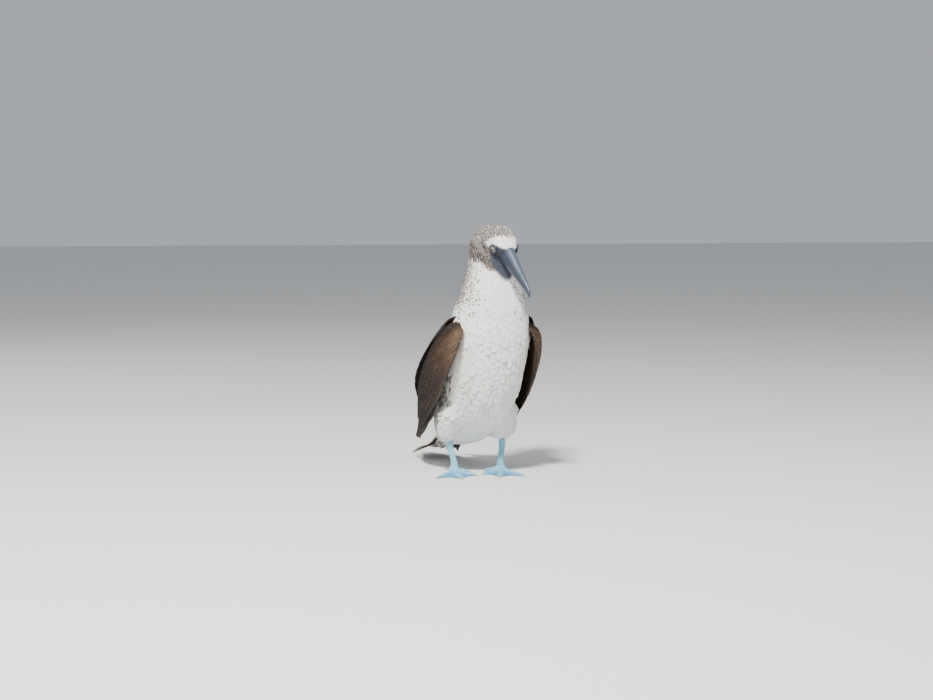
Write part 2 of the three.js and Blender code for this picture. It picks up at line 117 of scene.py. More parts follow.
def oval(angle: Array, squareness: float = 2.15) -> tuple[Array, Array]:
    """A superellipse's unit point at each angle, fuller than a circle as squareness passes 2."""
    bend = 2 / squareness
    c, s = np.cos(angle), np.sin(angle)
    return np.sign(c) * np.abs(c) ** bend, np.sign(s) * np.abs(s) ** bend


def turns(count: int) -> Array:
    """Equal angles round a full turn."""
    return np.arange(count) * 2 * math.pi / count


@dataclass(frozen=True)
class Head:
    """The head's own axes: along the bill, up across it, and out to either side.

    A slice is its place along, its top, its bottom and its half width.
    """

    bill_length: float = 101
    pitch: float = 49
    yaw: float = 9
    culmen: tuple[float, float, float] = (19.4, 108, 395)
    eye: tuple[float, float, float] = (-13.5, -18, 19.5)
    eye_radius: float = 6.6
    squareness: float = 2.05
    inset_fade: Span = (-2, 18)
    slices: tuple[tuple[float, ...], ...] = (
        (3, -1, -33, 13),
        (-4, 4, -37, 18.5),
        (-12, 6.5, -42, 23.5),
        (-22, 7, -47, 29),
        (-34, 5.5, -52, 34),
        (-47, 1, -55, 37.5),
        (-59, -7, -55, 35.5),
        (-69, -17, -51, 29),
        (-76, -27, -44, 16),
    )

    @property
    def axes(self) -> Array:
        """The along, up and side directions, one in each row."""
        pitch, yaw = math.radians(self.pitch), math.radians(self.yaw)
        level = at(math.sin(yaw), math.cos(yaw), 0)
        along = level * math.cos(pitch) + at(0, 0, -math.sin(pitch))
        up = level * math.sin(pitch) + at(0, 0, math.cos(pitch))
        return np.stack([along, up, at(math.cos(yaw), -math.sin(yaw), 0)])

    def point(self, along: Any, up: Any, out: Any) -> Array:
        """The places at these distances from the culmen's root."""
        local = np.stack(np.broadcast_arrays(*(np.asarray(v, float) for v in (along, up, out))), axis=-1)
        return at(*self.culmen) + local @ self.axes

    def local(self, points: Array) -> Array:
        """The along, up and out distances of places."""
        return (points - at(*self.culmen)) @ self.axes.T

    def eye_centre(self, sign: int) -> Array:
        """The middle of one eye."""
        along, up, out = self.eye
        return self.point(along, up, sign * out)

    def skull(self, slices: int, count: int, inset: float) -> Array:
        """The skull's rings, drawn in by inset, less so at the bill."""
        rings = []
        for t in np.linspace(0, len(self.slices) - 1, slices):
            along, top, bottom, half = read_rows(self.slices, t)
            side, rise = oval(turns(count), self.squareness)
            shrink = inset * ramp(-along, *self.inset_fade)
            middle, tall = (top + bottom) / 2, (top - bottom) / 2 - shrink
            rings.append(self.point(along, middle + tall * rise, (half - shrink) * side))
        return np.stack(rings)


@dataclass(frozen=True)
class Anatomy:
    """The bird's main forms, as the solids have them.

    A trunk row is the back's ahead and z, the belly's ahead and z, the half width and the shift to the
    left. A thigh row is x, ahead, z, half width and half depth.
    """

    head: Head = Head()
    trunk: tuple[tuple[float, ...], ...] = (
        (-156, 62, -150, 34, 20, 0),
        (-132, 94, -108, 35, 38, 0),
        (-102, 138, -52, 43, 54, 0),
        (-68, 182, 8, 64, 63, 0),
        (-36, 224, 58, 104, 67, 0),
        (-10, 262, 92, 164, 70, 1),
        (6, 296, 108, 228, 71, 2),
        (13, 326, 109, 280, 63, 4),
        (12, 354, 100, 318, 53, 7),
        (10, 380, 92, 350, 46, 9),
        (13, 402, 88, 374, 43, 9),
        (20, 420, 78, 396, 39, 9),
        (31, 430, 70, 414, 26, 10),
    )
    thigh: tuple[tuple[float, ...], ...] = (
        (34, 16, 142, 12, 16),
        (43, 12, 122, 22, 31),
        (47, 5, 102, 24, 32),
        (51, -1, 82, 23.5, 26),
        (51.5, -6, 66, 19.5, 21),
        (51, -8, 57, 15, 16),
    )
    thigh_hem: int = 4
    rows_in_skull: int = 3
    skull_line: tuple[Span, ...] = ((-44, -24), (-30, -20), (-16, -17), (0, -16))
    ankle_x: float = 42
    ankle_turn: float = 4
    heel: tuple[float, float, float] = (51, -8, 57)

    def shift(self) -> Array:
        """How far the frame's origin lies from these tables' origin, read from the right eye's node."""
        low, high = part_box("eye_right")
        middle = (np.array(low[:]) + np.array(high[:])) / 2 / MM
        return middle - self.head.eye_centre(RIGHT)

    def place(self, points: Array) -> Array:
        """The frame's metres for places in millimetres."""
        return (points + self.shift()) * MM

    def unplace(self, points_m: Array) -> Array:
        """The millimetres for places in the frame's metres."""
        return points_m / MM - self.shift()

    def trunk_rings(self, slices: int, count: int, inset: float) -> Array:
        """The trunk's rings from the tail's root into the head, drawn in by inset."""
        rings = []
        for t in np.linspace(0, len(self.trunk) - 1, slices):
            back, back_z, belly, belly_z, half, shift = read_rows(self.trunk, t)
            middle = at(shift, (back + belly) / 2, (back_z + belly_z) / 2)
            to_back = at(0, back - belly, back_z - belly_z) / 2
            to_back *= 1 - inset / np.linalg.norm(to_back)
            side, rise = oval(turns(count))
            rings.append(middle + at((half - inset) * side, 0, 0) + rise[:, None] * to_back)
        return np.stack(rings)

    def thigh_rings(self, sign: int, slices: int, count: int, inset: float) -> Array:
        """One thigh's rings from inside the flank down to the bare leg."""
        rings = []
        for t in np.linspace(0, len(self.thigh) - 1, slices):
            x, ahead, z, wide, deep = read_rows(self.thigh, t)
            c, s = oval(turns(count))
            lifted = z + inset * (t > self.thigh_hem)
            rings.append(at(sign * (x + (wide - inset) * c), ahead + (deep - inset) * s, lifted))
        return np.stack(rings)

    def midline(self, count: int = 400) -> Array:
        """Places from the tail's root through the trunk, neck and skull to the bill."""
        rows = np.asarray(self.trunk)[: -self.rows_in_skull]
        trunk = at(rows[:, 5], (rows[:, 0] + rows[:, 2]) / 2, (rows[:, 1] + rows[:, 3]) / 2)
        along, up = np.array(self.skull_line).T
        skull = self.head.point(along, up, 0)
        knots = np.vstack([trunk, skull])
        return read_rows(knots, np.linspace(0, len(knots) - 1, count))


BODY = Anatomy()


def new_object(name: str, data: Any) -> bpy.types.Object:
    """A new object in the scene."""
    made = bpy.data.objects.new(name, data)
    bpy.context.scene.collection.objects.link(made)
    return made


def read_points(mesh: bpy.types.Mesh) -> Array:
    """A mesh's points in millimetres."""
    points = np.empty(len(mesh.vertices) * 3)
    mesh.vertices.foreach_get("co", points)
    return BODY.unplace(points.reshape(-1, 3))


def paint_mesh(mesh: bpy.types.Mesh, colours: Array) -> None:
    """Gives each point of a mesh its colour."""
    layer = mesh.attributes.get("paint") or mesh.attributes.new("paint", "FLOAT_COLOR", "POINT")
    opaque = np.hstack([colours, np.ones((len(colours), 1))])
    layer.data.foreach_set("color", opaque.astype(np.float32).ravel())


def map_mesh(mesh: bpy.types.Mesh, title: str, places: Array, corners: Array) -> None:
    """Gives a mesh a map, from each point's place on it and the point at each corner."""
    layer = mesh.uv_layers.get(title) or mesh.uv_layers.new(name=title)
    layer.data.foreach_set("uv", places[corners].astype(np.float32).ravel())


def flatten(made: bpy.types.Object) -> None:
    """Turns what an object's modifiers show into its plain, smooth-shaded mesh."""
    mesh = bpy.data.meshes.new_from_object(made.evaluated_get(bpy.context.evaluated_depsgraph_get()))
    made.modifiers.clear()
    mesh.shade_smooth()
    made.data = mesh


def fair(made: bpy.types.Object, voxel_m: float, rounds: int) -> None:
    """Gives an object an even mesh of small faces and smooths it.

    Args:
        made: The object.
        voxel_m: The faces' size.
        rounds: How often the mesh is smoothed.
    """
    remesh = made.modifiers.new("Remesh", "REMESH")
    remesh.mode = "VOXEL"
    remesh.voxel_size = voxel_m
    made.modifiers.new("Smooth", "SMOOTH").iterations = rounds
    flatten(made)


class Shade:
    """A shader socket on which arithmetic adds Math nodes."""

    def __init__(self, graph: "Graph", socket: Any) -> None:
        """Wraps a socket of a graph."""
        self.graph = graph
        self.socket = socket

    def _math(self, operation: str, *values: Any) -> "Shade":
        """A Math node over these values."""
        return self.graph.node("ShaderNodeMath", {"operation": operation}, dict(enumerate(values)))

    def __add__(self, other: Any) -> "Shade":
        """Self plus other."""
        return self._math("ADD", self, other)

    def __rsub__(self, other: Any) -> "Shade":
        """Other minus self."""
        return self._math("SUBTRACT", other, self)

    def __mul__(self, other: Any) -> "Shade":
        """Self times other."""
        return self._math("MULTIPLY", self, other)

    __radd__ = __add__
    __rmul__ = __mul__

    def clamp(self, low: float = 0, high: float = 1) -> "Shade":
        """Self held between two limits."""
        return self._math("MINIMUM", self._math("MAXIMUM", self, low), high)


class Graph:
    """A material's node tree."""

    def __init__(self, name: str) -> None:
        """Starts an empty material of that name."""
        self.material = bpy.data.materials.new(name)
        self.material.use_nodes = True
        self.tree = self.material.node_tree
        self.tree.nodes.clear()

    def node(
        self, kind: str, settings: dict | None = None, inputs: dict | None = None, out: Any = 0,
    ) -> Shade:
        """Adds one node.

        Args:
            kind: The node's type.
            settings: Its attributes.
            inputs: Values or shades for its sockets, by name or number.
            out: The output that is wanted, by name or number.

        Returns:
            That output.
        """
        made = self.tree.nodes.new(kind)
        for key, value in (settings or {}).items():
            setattr(made, key, value)
        for key, value in (inputs or {}).items():
            socket = made.inputs[key]
            if isinstance(value, Shade):
                self.tree.links.new(value.socket, socket)
            else:
                socket.default_value = value
        return Shade(self, made.outputs[out])

    def place(self) -> Shade:
        """The piece's own coordinates in metres."""
        return self.node("ShaderNodeTexCoord", out="Object")

    def paint(self) -> Shade:
        """The colour that each point of the mesh carries."""
        return self.node("ShaderNodeAttribute", {"attribute_name": "paint"}, out="Color")

    def noise(self, scale: float, detail: float = 3, where: Shade | None = None) -> Shade:
        """A cloudy value from 0 to 1, with scale cells to the metre."""
        inputs = {"Vector": where or self.place(), "Scale": scale, "Detail": detail}
        return self.node("ShaderNodeTexNoise", {}, inputs, "Fac")

    def toned(self, tone: Shade) -> Shade:
        """The mesh's own colour times a grey tone."""
        grey = self.node("ShaderNodeCombineColor", {}, {0: tone, 1: tone, 2: tone})
        settings = {"data_type": "RGBA", "blend_type": "MULTIPLY"}
        return self.node("ShaderNodeMix", settings, {0: 1.0, 6: self.paint(), 7: grey}, 2)

    def bump(self, height: Shade, distance_m: float) -> Shade:
        """A surface normal that follows a height."""
        return self.node("ShaderNodeBump", {}, {"Height": height, "Distance": distance_m, "Strength": 1.0})

    def surface(self, **inputs: Any) -> bpy.types.Material:
        """Ends the tree in one Principled surface and returns the material."""
        sockets = {key.replace("_", " "): value for key, value in inputs.items()}
        shader = self.node("ShaderNodeBsdfPrincipled", {}, sockets)
        output = self.tree.nodes.new("ShaderNodeOutputMaterial")
        self.tree.links.new(shader.socket, output.inputs["Surface"])
        return self.material


def rgb(red: float, green: float, blue: float) -> tuple[float, float, float, float]:
    """A colour with full alpha."""
    return (red, green, blue, 1.0)


@dataclass(frozen=True)
class PlumageFinish:
    """Soft feathers in the colours that the mesh carries, with fine barbs across each vane."""

    name: str
    roughness: float = 0.82
    sheen: float = 0.25
    sheen_roughness: float = 0.5
    barb_lines: float = 26
    barb_wander: float = 1.5
    barb_height_m: float = 0.00012
    shine: float = 0.3
    mottle: float = 0.16
    mottle_cells: float = 420
    wear: float = 0.16

    def build(self) -> bpy.types.Material:
        """The material."""
        g = Graph(self.name)
        where = g.node("ShaderNodeUVMap", {"uv_map": "vane"})
        lines = {"Vector": where, "Scale": self.barb_lines, "Distortion": self.barb_wander, "Detail": 1.0}
        barbs = g.node("ShaderNodeTexWave", {"bands_direction": "DIAGONAL"}, lines, "Fac")
        cloud = g.noise(self.mottle_cells, 4)
        tone = (1 - self.mottle) + cloud * (2 * self.mottle)
        rough = (self.roughness - self.wear / 2) + cloud * self.wear
        return g.surface(Base_Color=g.toned(tone), Roughness=rough, Normal=g.bump(barbs, self.barb_height_m),
                         Sheen_Weight=self.sheen, Sheen_Roughness=self.sheen_roughness,
                         Specular_IOR_Level=self.shine)


@dataclass(frozen=True)
class BareSkinFinish:
    """Leathery bare skin, pebbled at two scales, in the colours that the mesh carries."""

    name: str
    pebbles: float = 900
    pebble_height_m: float = 0.0004
    roughness: float = 0.5
    coat: float = 0.1
    coat_roughness: float = 0.35
    seam_steepness: float = 5
    cloud_cells: float = 160
    darkest: float = 0.74
    cloud_tone: float = 0.3
    seam_tone: float = 0.12
    cloud_wear: float = 0.08
    relief: float = 0.6

    def build(self) -> bpy.types.Material:
        """The material."""
        g = Graph(self.name)
        where = g.place()
        cells = g.node("ShaderNodeTexVoronoi", {"feature": "DISTANCE_TO_EDGE"},
                       {"Vector": where, "Scale": self.pebbles}, "Distance")
        seams = (cells * self.seam_steepness).clamp()
        cloud = g.noise(self.cloud_cells, 5, where)
        tone = self.darkest + cloud * self.cloud_tone + seams * self.seam_tone
        height = seams * self.relief + cloud * self.relief
        rough = (self.roughness + self.seam_tone) - seams * self.seam_tone + cloud * self.cloud_wear
        return g.surface(
            Base_Color=g.toned(tone), Roughness=rough, Normal=g.bump(height, self.pebble_height_m),
            Coat_Weight=self.coat, Coat_Roughness=self.coat_roughness)


@dataclass(frozen=True)
class HornFinish:
    """Hard horn with long grooves and wear, in the colours that the mesh carries."""

    name: str
    roughness: float = 0.36
    groove_height_m: float = 0.0003
    coat: float = 0.15
    coat_roughness: float = 0.3
    stretch: tuple[float, float, float] = (26, 3, 1)
    streak_cells: float = 2.2
    cloud_cells: float = 130
    darkest: float = 0.72
    streak_tone: float = 0.3
    cloud_tone: float = 0.26
    wear: float = 0.24

    def build(self) -> bpy.types.Material:
        """The material."""
        g = Graph(self.name)
        where = g.node("ShaderNodeUVMap", {"uv_map": "vane"})
        stretched = g.node("ShaderNodeMapping", {}, {"Vector": where, "Scale": self.stretch})
        streaks = g.noise(self.streak_cells, 5, stretched)
        cloud = g.noise(self.cloud_cells, 5)
        tone = self.darkest + streaks * self.streak_tone + cloud * self.cloud_tone
        rough = (self.roughness - 0.1) + cloud * self.wear
        height = streaks * 0.8 + cloud * 0.4
        return g.surface(
            Base_Color=g.toned(tone), Roughness=rough, Normal=g.bump(height, self.groove_height_m),
            Coat_Weight=self.coat, Coat_Roughness=self.coat_roughness)


@dataclass(frozen=True)
class EyeFinish:
    """A wet eye: pupil, streaked iris and dark rim come from the colours that the mesh carries."""

    name: str = "wet_eye"
    roughness: float = 0.06
    coat_roughness: float = 0.03
    streak_cells: float = 1500

    def build(self) -> bpy.types.Material:
        """The material."""
        g = Graph(self.name)
        cloud = g.noise(self.streak_cells, 3)
        return g.surface(Base_Color=g.toned(0.85 + cloud * 0.3), Roughness=self.roughness + cloud * 0.04,
                         Coat_Weight=1.0, Coat_Roughness=self.coat_roughness)


@dataclass(frozen=True)
class FloorFinish:
    """A plain pale floor."""

    name: str = "pale_floor"
    colour: tuple[float, float, float] = (0.72, 0.72, 0.71)
    roughness: float = 0.8

    def build(self) -> bpy.types.Material:
        """The material."""
        return Graph(self.name).surface(Base_Color=rgb(*self.colour), Roughness=self.roughness)


@dataclass
class Piece:
    """A mesh in the making: points in millimetres, faces, and what each point or corner carries."""

    points: list[Array] = field(default_factory=list)
    faces: list[Any] = field(default_factory=list)
    paint: list[Array] = field(default_factory=list)
    vane: list[Array] = field(default_factory=list)
    bake: list[Array] = field(default_factory=list)
    total: int = 0

    def add(self, points: Array, faces: Array | list, paint: Array, vane: Array | None = None,
            bake: Array | None = None) -> None:
        """Adds points with their colours and map places, and faces that count from the first of them.

        Args:
            points: Places in millimetres.
            faces: Lists of point numbers.
            paint: One colour, or one for each point.
            vane: Places on the vane map, one for each point.
            bake: Places on the bake map, one for each point.
        """
        points = points.reshape(-1, 3)
        count = len(points)
        self.points.append(points)
        if isinstance(faces, np.ndarray):
            self.faces.append(faces + self.total)
        else:
            self.faces.append([tuple(int(i) + self.total for i in f) for f in faces])
        self.paint.append(np.broadcast_to(np.asarray(paint, float).reshape(-1, 3), (count, 3)))
        blank = np.zeros((count, 2))
        self.vane.append(blank if vane is None else vane.reshape(-1, 2))
        self.bake.append(blank if bake is None else bake.reshape(-1, 2))
        self.total += count

    def add_loft(self, rings: Array, paint: Array, mapped: bool = False) -> None:
        """Adds a closed loft.

        Args:
            rings: Its rings of places, from one end to the other.
            paint: One colour, or one for each place.
            mapped: Whether it gets places on the vane map.
        """
        slices, count = rings.shape[:2]
        points, faces = solid(loft_faces(slices, count), rings)
        self.add(points, faces, paint, loft_maps(slices, count) if mapped else None)

    def make(self, name: str, material: bpy.types.Material) -> bpy.types.Object:
        """Makes the object.

        Args:
            name: The piece's name.
            material: Its finish.

        Returns:
            The object, at the origin, with its place in its mesh.
        """
        points = BODY.place(np.vstack(self.points)).astype(np.float32)
        quads = [f for f in self.faces if isinstance(f, np.ndarray)]
        others = [face for group in self.faces if not isinstance(group, np.ndarray) for face in group]
        sizes = [np.full(len(q), q.shape[1]) for q in quads] + [np.array([len(f) for f in others], int)]
        corners = np.concatenate([q.ravel() for q in quads] + [np.array([i for f in others for i in f], int)])
        size = np.concatenate(sizes)
        starts = np.concatenate([[0], np.cumsum(size)[:-1]])
        mesh = bpy.data.meshes.new(name)
        mesh.vertices.add(len(points))
        mesh.vertices.foreach_set("co", points.ravel())
        mesh.loops.add(len(corners))
        mesh.loops.foreach_set("vertex_index", corners.astype(np.int32))
        mesh.polygons.add(len(size))
        mesh.polygons.foreach_set("loop_start", starts.astype(np.int32))
        mesh.update(calc_edges=True)
        paint_mesh(mesh, np.vstack(self.paint))
        map_mesh(mesh, "vane", np.vstack(self.vane), corners)
        map_mesh(mesh, "OFBake", np.vstack(self.bake), corners)
        mesh.shade_smooth()
        mesh.set_sharp_from_angle(angle=math.radians(FOLD))
        mesh.materials.append(material)
        mesh.validate()
        return new_object(name, mesh)


def loft_faces(slices: int, count: int) -> list[tuple[int, ...]]:
    """The faces that join rings side by side and close both ends."""
    faces: list[tuple[int, ...]] = []
    for j in range(slices - 1):
        for i in range(count):
            a, b = j * count + i, j * count + (i + 1) % count
            faces.append((a, b, b + count, a + count))
    last = (slices - 1) * count
    faces.append(tuple(reversed(range(count))))
    faces.append(tuple(range(last, last + count)))
    return faces


def loft_maps(slices: int, count: int) -> Array:
    """A vane map place for every point of a loft: across its girth and along its length."""
    along, around = np.meshgrid(np.linspace(0, 1, slices), np.linspace(0, 1, count), indexing="ij")
    return np.stack([around, along], axis=-1)


def solid(mesh_faces: list, points: Array) -> tuple[Array, list]:
    """Turns a closed shell's faces outwards.

    Args:
        mesh_faces: The faces.
        points: The places they name.

    Returns:
        The places and the turned faces.
    """
    p = points.reshape(-1, 3)
    middle = p.mean(axis=0)
    volume = 0.0
    for f in mesh_faces:
        for k in range(1, len(f) - 1):
            a, b, c = p[f[0]] - middle, p[f[k]] - middle, p[f[k + 1]] - middle
            volume += float(np.dot(a, np.cross(b, c)))
    return p, [tuple(reversed(f)) for f in mesh_faces] if volume < 0 else mesh_faces


def dress(piece: bpy.types.Object, slot: str, *nodes: str) -> bpy.types.Object:
    """Ties a finished piece to the frame: it rides and stands for its nodes, which are hidden."""
    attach(piece, "root")
    if nodes:
        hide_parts(*nodes)
    LOG.info("%s: %d faces", piece.name, len(piece.data.polygons))
    return piece


class Hue(Enum):
    """The bird's own colours, in linear light, and the painted highlight of the bill's culmen."""

    WHITE = (0.86, 0.845, 0.81)
    CREAM = (0.74, 0.68, 0.58)
    BROWN = (0.05, 0.033, 0.025)
    BLACK_BROWN = (0.015, 0.012, 0.011)
    WARM_BROWN = (0.095, 0.058, 0.038)
    PALE_EDGE = (0.15, 0.115, 0.09)
    SLATE = (0.029, 0.038, 0.06)
    # painted highlight: a paler slate that stands for light falling on the bill's culmen
    SLATE_HIGHLIGHT = (0.062, 0.082, 0.126)
    SLATE_DARK = (0.022, 0.027, 0.042)
    WEB_BLUE = (0.07, 0.31, 0.62)
    LEG_BLUE = (0.24, 0.57, 0.7)
    CLAW = (0.5, 0.53, 0.52)
    IRIS = (0.46, 0.43, 0.28)
    PUPIL = (0.004, 0.004, 0.005)

    @property
    def colour(self) -> Array:
        """The colour as an array."""
        return np.asarray(self.value)


def blend(a: Array, b: Array, f: Array) -> Array:
    """Colours a turned into b by f from 0 to 1."""
    f = np.clip(np.asarray(f, float), 0, 1)[..., None]
    return a * (1 - f) + b * f


class Tract(Enum):
    """The kinds of small feathers, each with its width profile from root to tip."""

    SCALLOP = (0.5, 1.0, 0.92, 0.45)
    LANCE = (0.5, 1.0, 0.8, 0.16)
    FLUFF = (0.4, 0.8, 1.0, 0.6)


@dataclass
class Leaves:
    """Builds many small closed feathers at once from their roots, directions and sizes.

    Each has rows of four points, from its root to its tip.
    """

    profile: tuple[float, ...]
    camber: float = 0.22
    lift: float = 0.16
    flick: float = 0.0
    rows: tuple[float, ...] = (0.0, 0.38, 0.74, 1.0)
    columns: tuple[float, ...] = (-1.0, -0.36, 0.36, 1.0)

    def faces(self) -> Array:
        """The template's four-cornered faces: the vane, its flat underside and its two ends."""
        n, m = len(self.columns), len(self.rows)
        top = [(j * n + i, j * n + i + 1, (j + 1) * n + i + 1, (j + 1) * n + i)
               for j in range(m - 1) for i in range(n - 1)]
        under = [(j * n, (j + 1) * n, (j + 1) * n + n - 1, j * n + n - 1) for j in range(m - 1)]
        ends = [(0, n - 1, n - 2, 1), (n * (m - 1), n * (m - 1) + 1, n * m - 2, n * m - 1)]
        return np.array(top + under + ends)

    def build(self, piece: Piece, root: Array, along: Array, normal: Array, length: Array, width: Array,
              tint: Callable[[Array, Array], Array], bake: Array, rng: np.random.Generator) -> None:
        """Adds the feathers to a piece.

        Args:
            piece: What they join.
            root: Each feather's root.
            along: The way each lies.
            normal: The skin's outward direction at each root.
            length: Their lengths.
            width: Their half widths.
            tint: Gives each point's colour from its share along and across the vane.
            bake: Each root's place on the bake map.
            rng: The source of the small differences between them.
        """
        count = len(root)
        if not count:
            return
        t, s = (v.ravel() for v in np.meshgrid(self.rows, self.columns, indexing="ij"))
        profile = np.repeat(self.profile, len(self.columns))
        side = unit(np.cross(normal, along))
        fringe = rng.normal(0, 0.05, (count, len(t))) * (t > 0.9)
        reach = (t + fringe) * length[:, None]
        across = s * profile * width[:, None]
        rise = self.lift * length[:, None] * (t ** 1.3 + self.flick * t ** 4)
        rise = rise + self.camber * width[:, None] * (1 - s ** 2) * (0.4 + 0.6 * profile)
        p = (root[:, None] + reach[..., None] * along[:, None] + across[..., None] * side[:, None]
             + rise[..., None] * normal[:, None])
        template = self.faces()
        faces = (template[None] + (np.arange(count) * len(t))[:, None, None]).reshape(-1, 4)
        local = np.stack([s / 2 + 0.5, t], axis=-1)
        spot = bake[:, None] + (local - 0.5)[None] * BAKE_PATCH
        every = (count, len(t))
        colours = tint(np.broadcast_to(t, every), np.broadcast_to(s, every)).reshape(-1, 3)
        piece.add(p, faces, colours, np.broadcast_to(local, (*every, 2)), spot)


@dataclass
class Skin:
    """The bird's one skin, drawn in from the solids by the coat's depth, with the lie of its feathers.

    A net is a form's count of rings and of points in each.
    """

    finish: bpy.types.Material
    depth: float = 3.2
    voxel_m: float = 0.0021
    smoothing: int = 45
    trunk_net: tuple[int, int] = (70, 56)
    skull_net: tuple[int, int] = (30, 44)
    thigh_net: tuple[int, int] = (24, 32)
    map_margin: float = 0.02
    thigh_lie: tuple[float, float, float] = (0, -0.25, -1)
    tries: float = 3.2
    closest: float = 0.86
    least_gap: float = 0.1
    batch: int = 4000

    def __post_init__(self) -> None:
        """Builds the skin's mesh and reads its triangles."""
        self.midline = BODY.midline()
        self.tangent = unit(np.gradient(self.midline, axis=0))
        self.object = self._mesh()
        self._paint()
        self._read()

    def _mesh(self) -> bpy.types.Object:
        """Joins trunk, skull and thighs into one closed skin and fairs where they meet."""
        shells = [BODY.trunk_rings(*self.trunk_net, self.depth), BODY.head.skull(*self.skull_net, self.depth)]
        shells += [BODY.thigh_rings(sign, *self.thigh_net, self.depth) for _, sign in SIDES]
        rough = Piece()
        for rings in shells:
            rough.add_loft(rings, Hue.WHITE.colour)
        made = rough.make("skin", self.finish)
        fair(made, self.voxel_m, self.smoothing)
        return made

    def _paint(self) -> None:
        """Gives the skin the coat's markings, and the face its bare slate."""
        mesh = self.object.data
        points = read_points(mesh)
        base = Markings(self).base(points)
        paint_mesh(mesh, blend(base, Markings.face_colour(points), Markings.bare(points)))
        corners = np.empty(len(mesh.loops), np.int32)
        mesh.loops.foreach_get("vertex_index", corners)
        for title in ("vane", "OFBake"):
            map_mesh(mesh, title, self.unwrap(points), corners)

    def _read(self) -> None:
        """Keeps the skin's triangles for scattering."""
        mesh = self.object.data
        mesh.calc_loop_triangles()
        normals = np.empty(len(mesh.vertices) * 3)
        mesh.vertices.foreach_get("normal", normals)
        corners = np.empty(len(mesh.loop_triangles) * 3, np.int32)
        mesh.loop_triangles.foreach_get("vertices", corners)
        self.points = read_points(mesh)
        self.normals = normals.reshape(-1, 3)
        self.corners = corners.reshape(-1, 3)
        a, b, c = (self.points[self.corners[:, k]] for k in range(3))
        self.areas = np.linalg.norm(np.cross(b - a, c - a), axis=1) / 2

    def nearest(self, points: Array) -> Array:
        """Which place of the midline each point belongs to."""
        found = np.empty(len(points), int)
        for start in range(0, len(points), self.batch):
            part = points[start : start + self.batch]
            gap = np.linalg.norm(part[:, None] - self.midline[None], axis=2)
            found[start : start + self.batch] = np.argmin(gap, axis=1)
        return found

    def unwrap(self, points: Array) -> Array:
        """Each point's place on a map of the skin: its turn round the midline and its share along it."""
        i = self.nearest(points)
        offset = points - self.midline[i]
        side = np.array([1.0, 0.0, 0.0])
        up = unit(np.cross(self.tangent[i], side))
        turn = np.arctan2(dot(offset, side), dot(offset, up))
        place = np.stack([turn / (2 * math.pi) + 0.5, i / len(self.midline)], axis=-1)
        return self.map_margin + (1 - 2 * self.map_margin) * place

    def lie(self, points: Array, normals: Array) -> Array:
        """The way the coat lies: from the bill to the tail, and down the thighs."""
        i = self.nearest(points)
        flow = -self.tangent[i]
        thigh = Markings.thigh(points)[:, None]
        flow = flow * (1 - thigh) + at(*self.thigh_lie) * thigh
        flow = flow - dot(flow, normals)[:, None] * normals
        return unit(flow)

    def scatter(self, spacing: Callable[[Array], Array], rng: np.random.Generator) -> tuple[Array, Array]:
        """Spreads roots evenly.

        Args:
            spacing: Gives the distance between neighbours at places on the skin; 0 where none grow.
            rng: The source of the draw.

        Returns:
            The roots and the skin's outward directions there.
        """
        gap = spacing(self.points[self.corners].mean(axis=1))
        crowd = self.tries / np.maximum(gap, self.least_gap) ** 2
        density = np.where(gap > self.least_gap, crowd, 0) * self.areas
        total = int(density.sum())
        face = rng.choice(len(self.areas), total, p=density / density.sum())
        r1, r2 = np.sqrt(rng.random(total)), rng.random(total)
        weight = np.stack([1 - r1, r1 * (1 - r2), r1 * r2], axis=1)[..., None]
        points = (self.points[self.corners[face]] * weight).sum(axis=1)
        normals = unit((self.normals[self.corners[face]] * weight).sum(axis=1))
        gap = gap[face]
        taken: dict[tuple[int, ...], list[list[float]]] = {}
        kept = []
        cells = np.floor(points / float(gap.max())).astype(int).tolist()
        around = list(itertools.product((-1, 0, 1), repeat=3))
        for n, (p, (i, j, k), r) in enumerate(zip(points.tolist(), cells, (gap * self.closest).tolist())):
            near = (q for a, b, c in around for q in taken.get((i + a, j + b, k + c), ()))
            if any((p[0] - q[0]) ** 2 + (p[1] - q[1]) ** 2 + (p[2] - q[2]) ** 2 < r * r for q in near):
                continue
            taken.setdefault((i, j, k), []).append(p)
            kept.append(n)
        return points[kept], normals[kept]


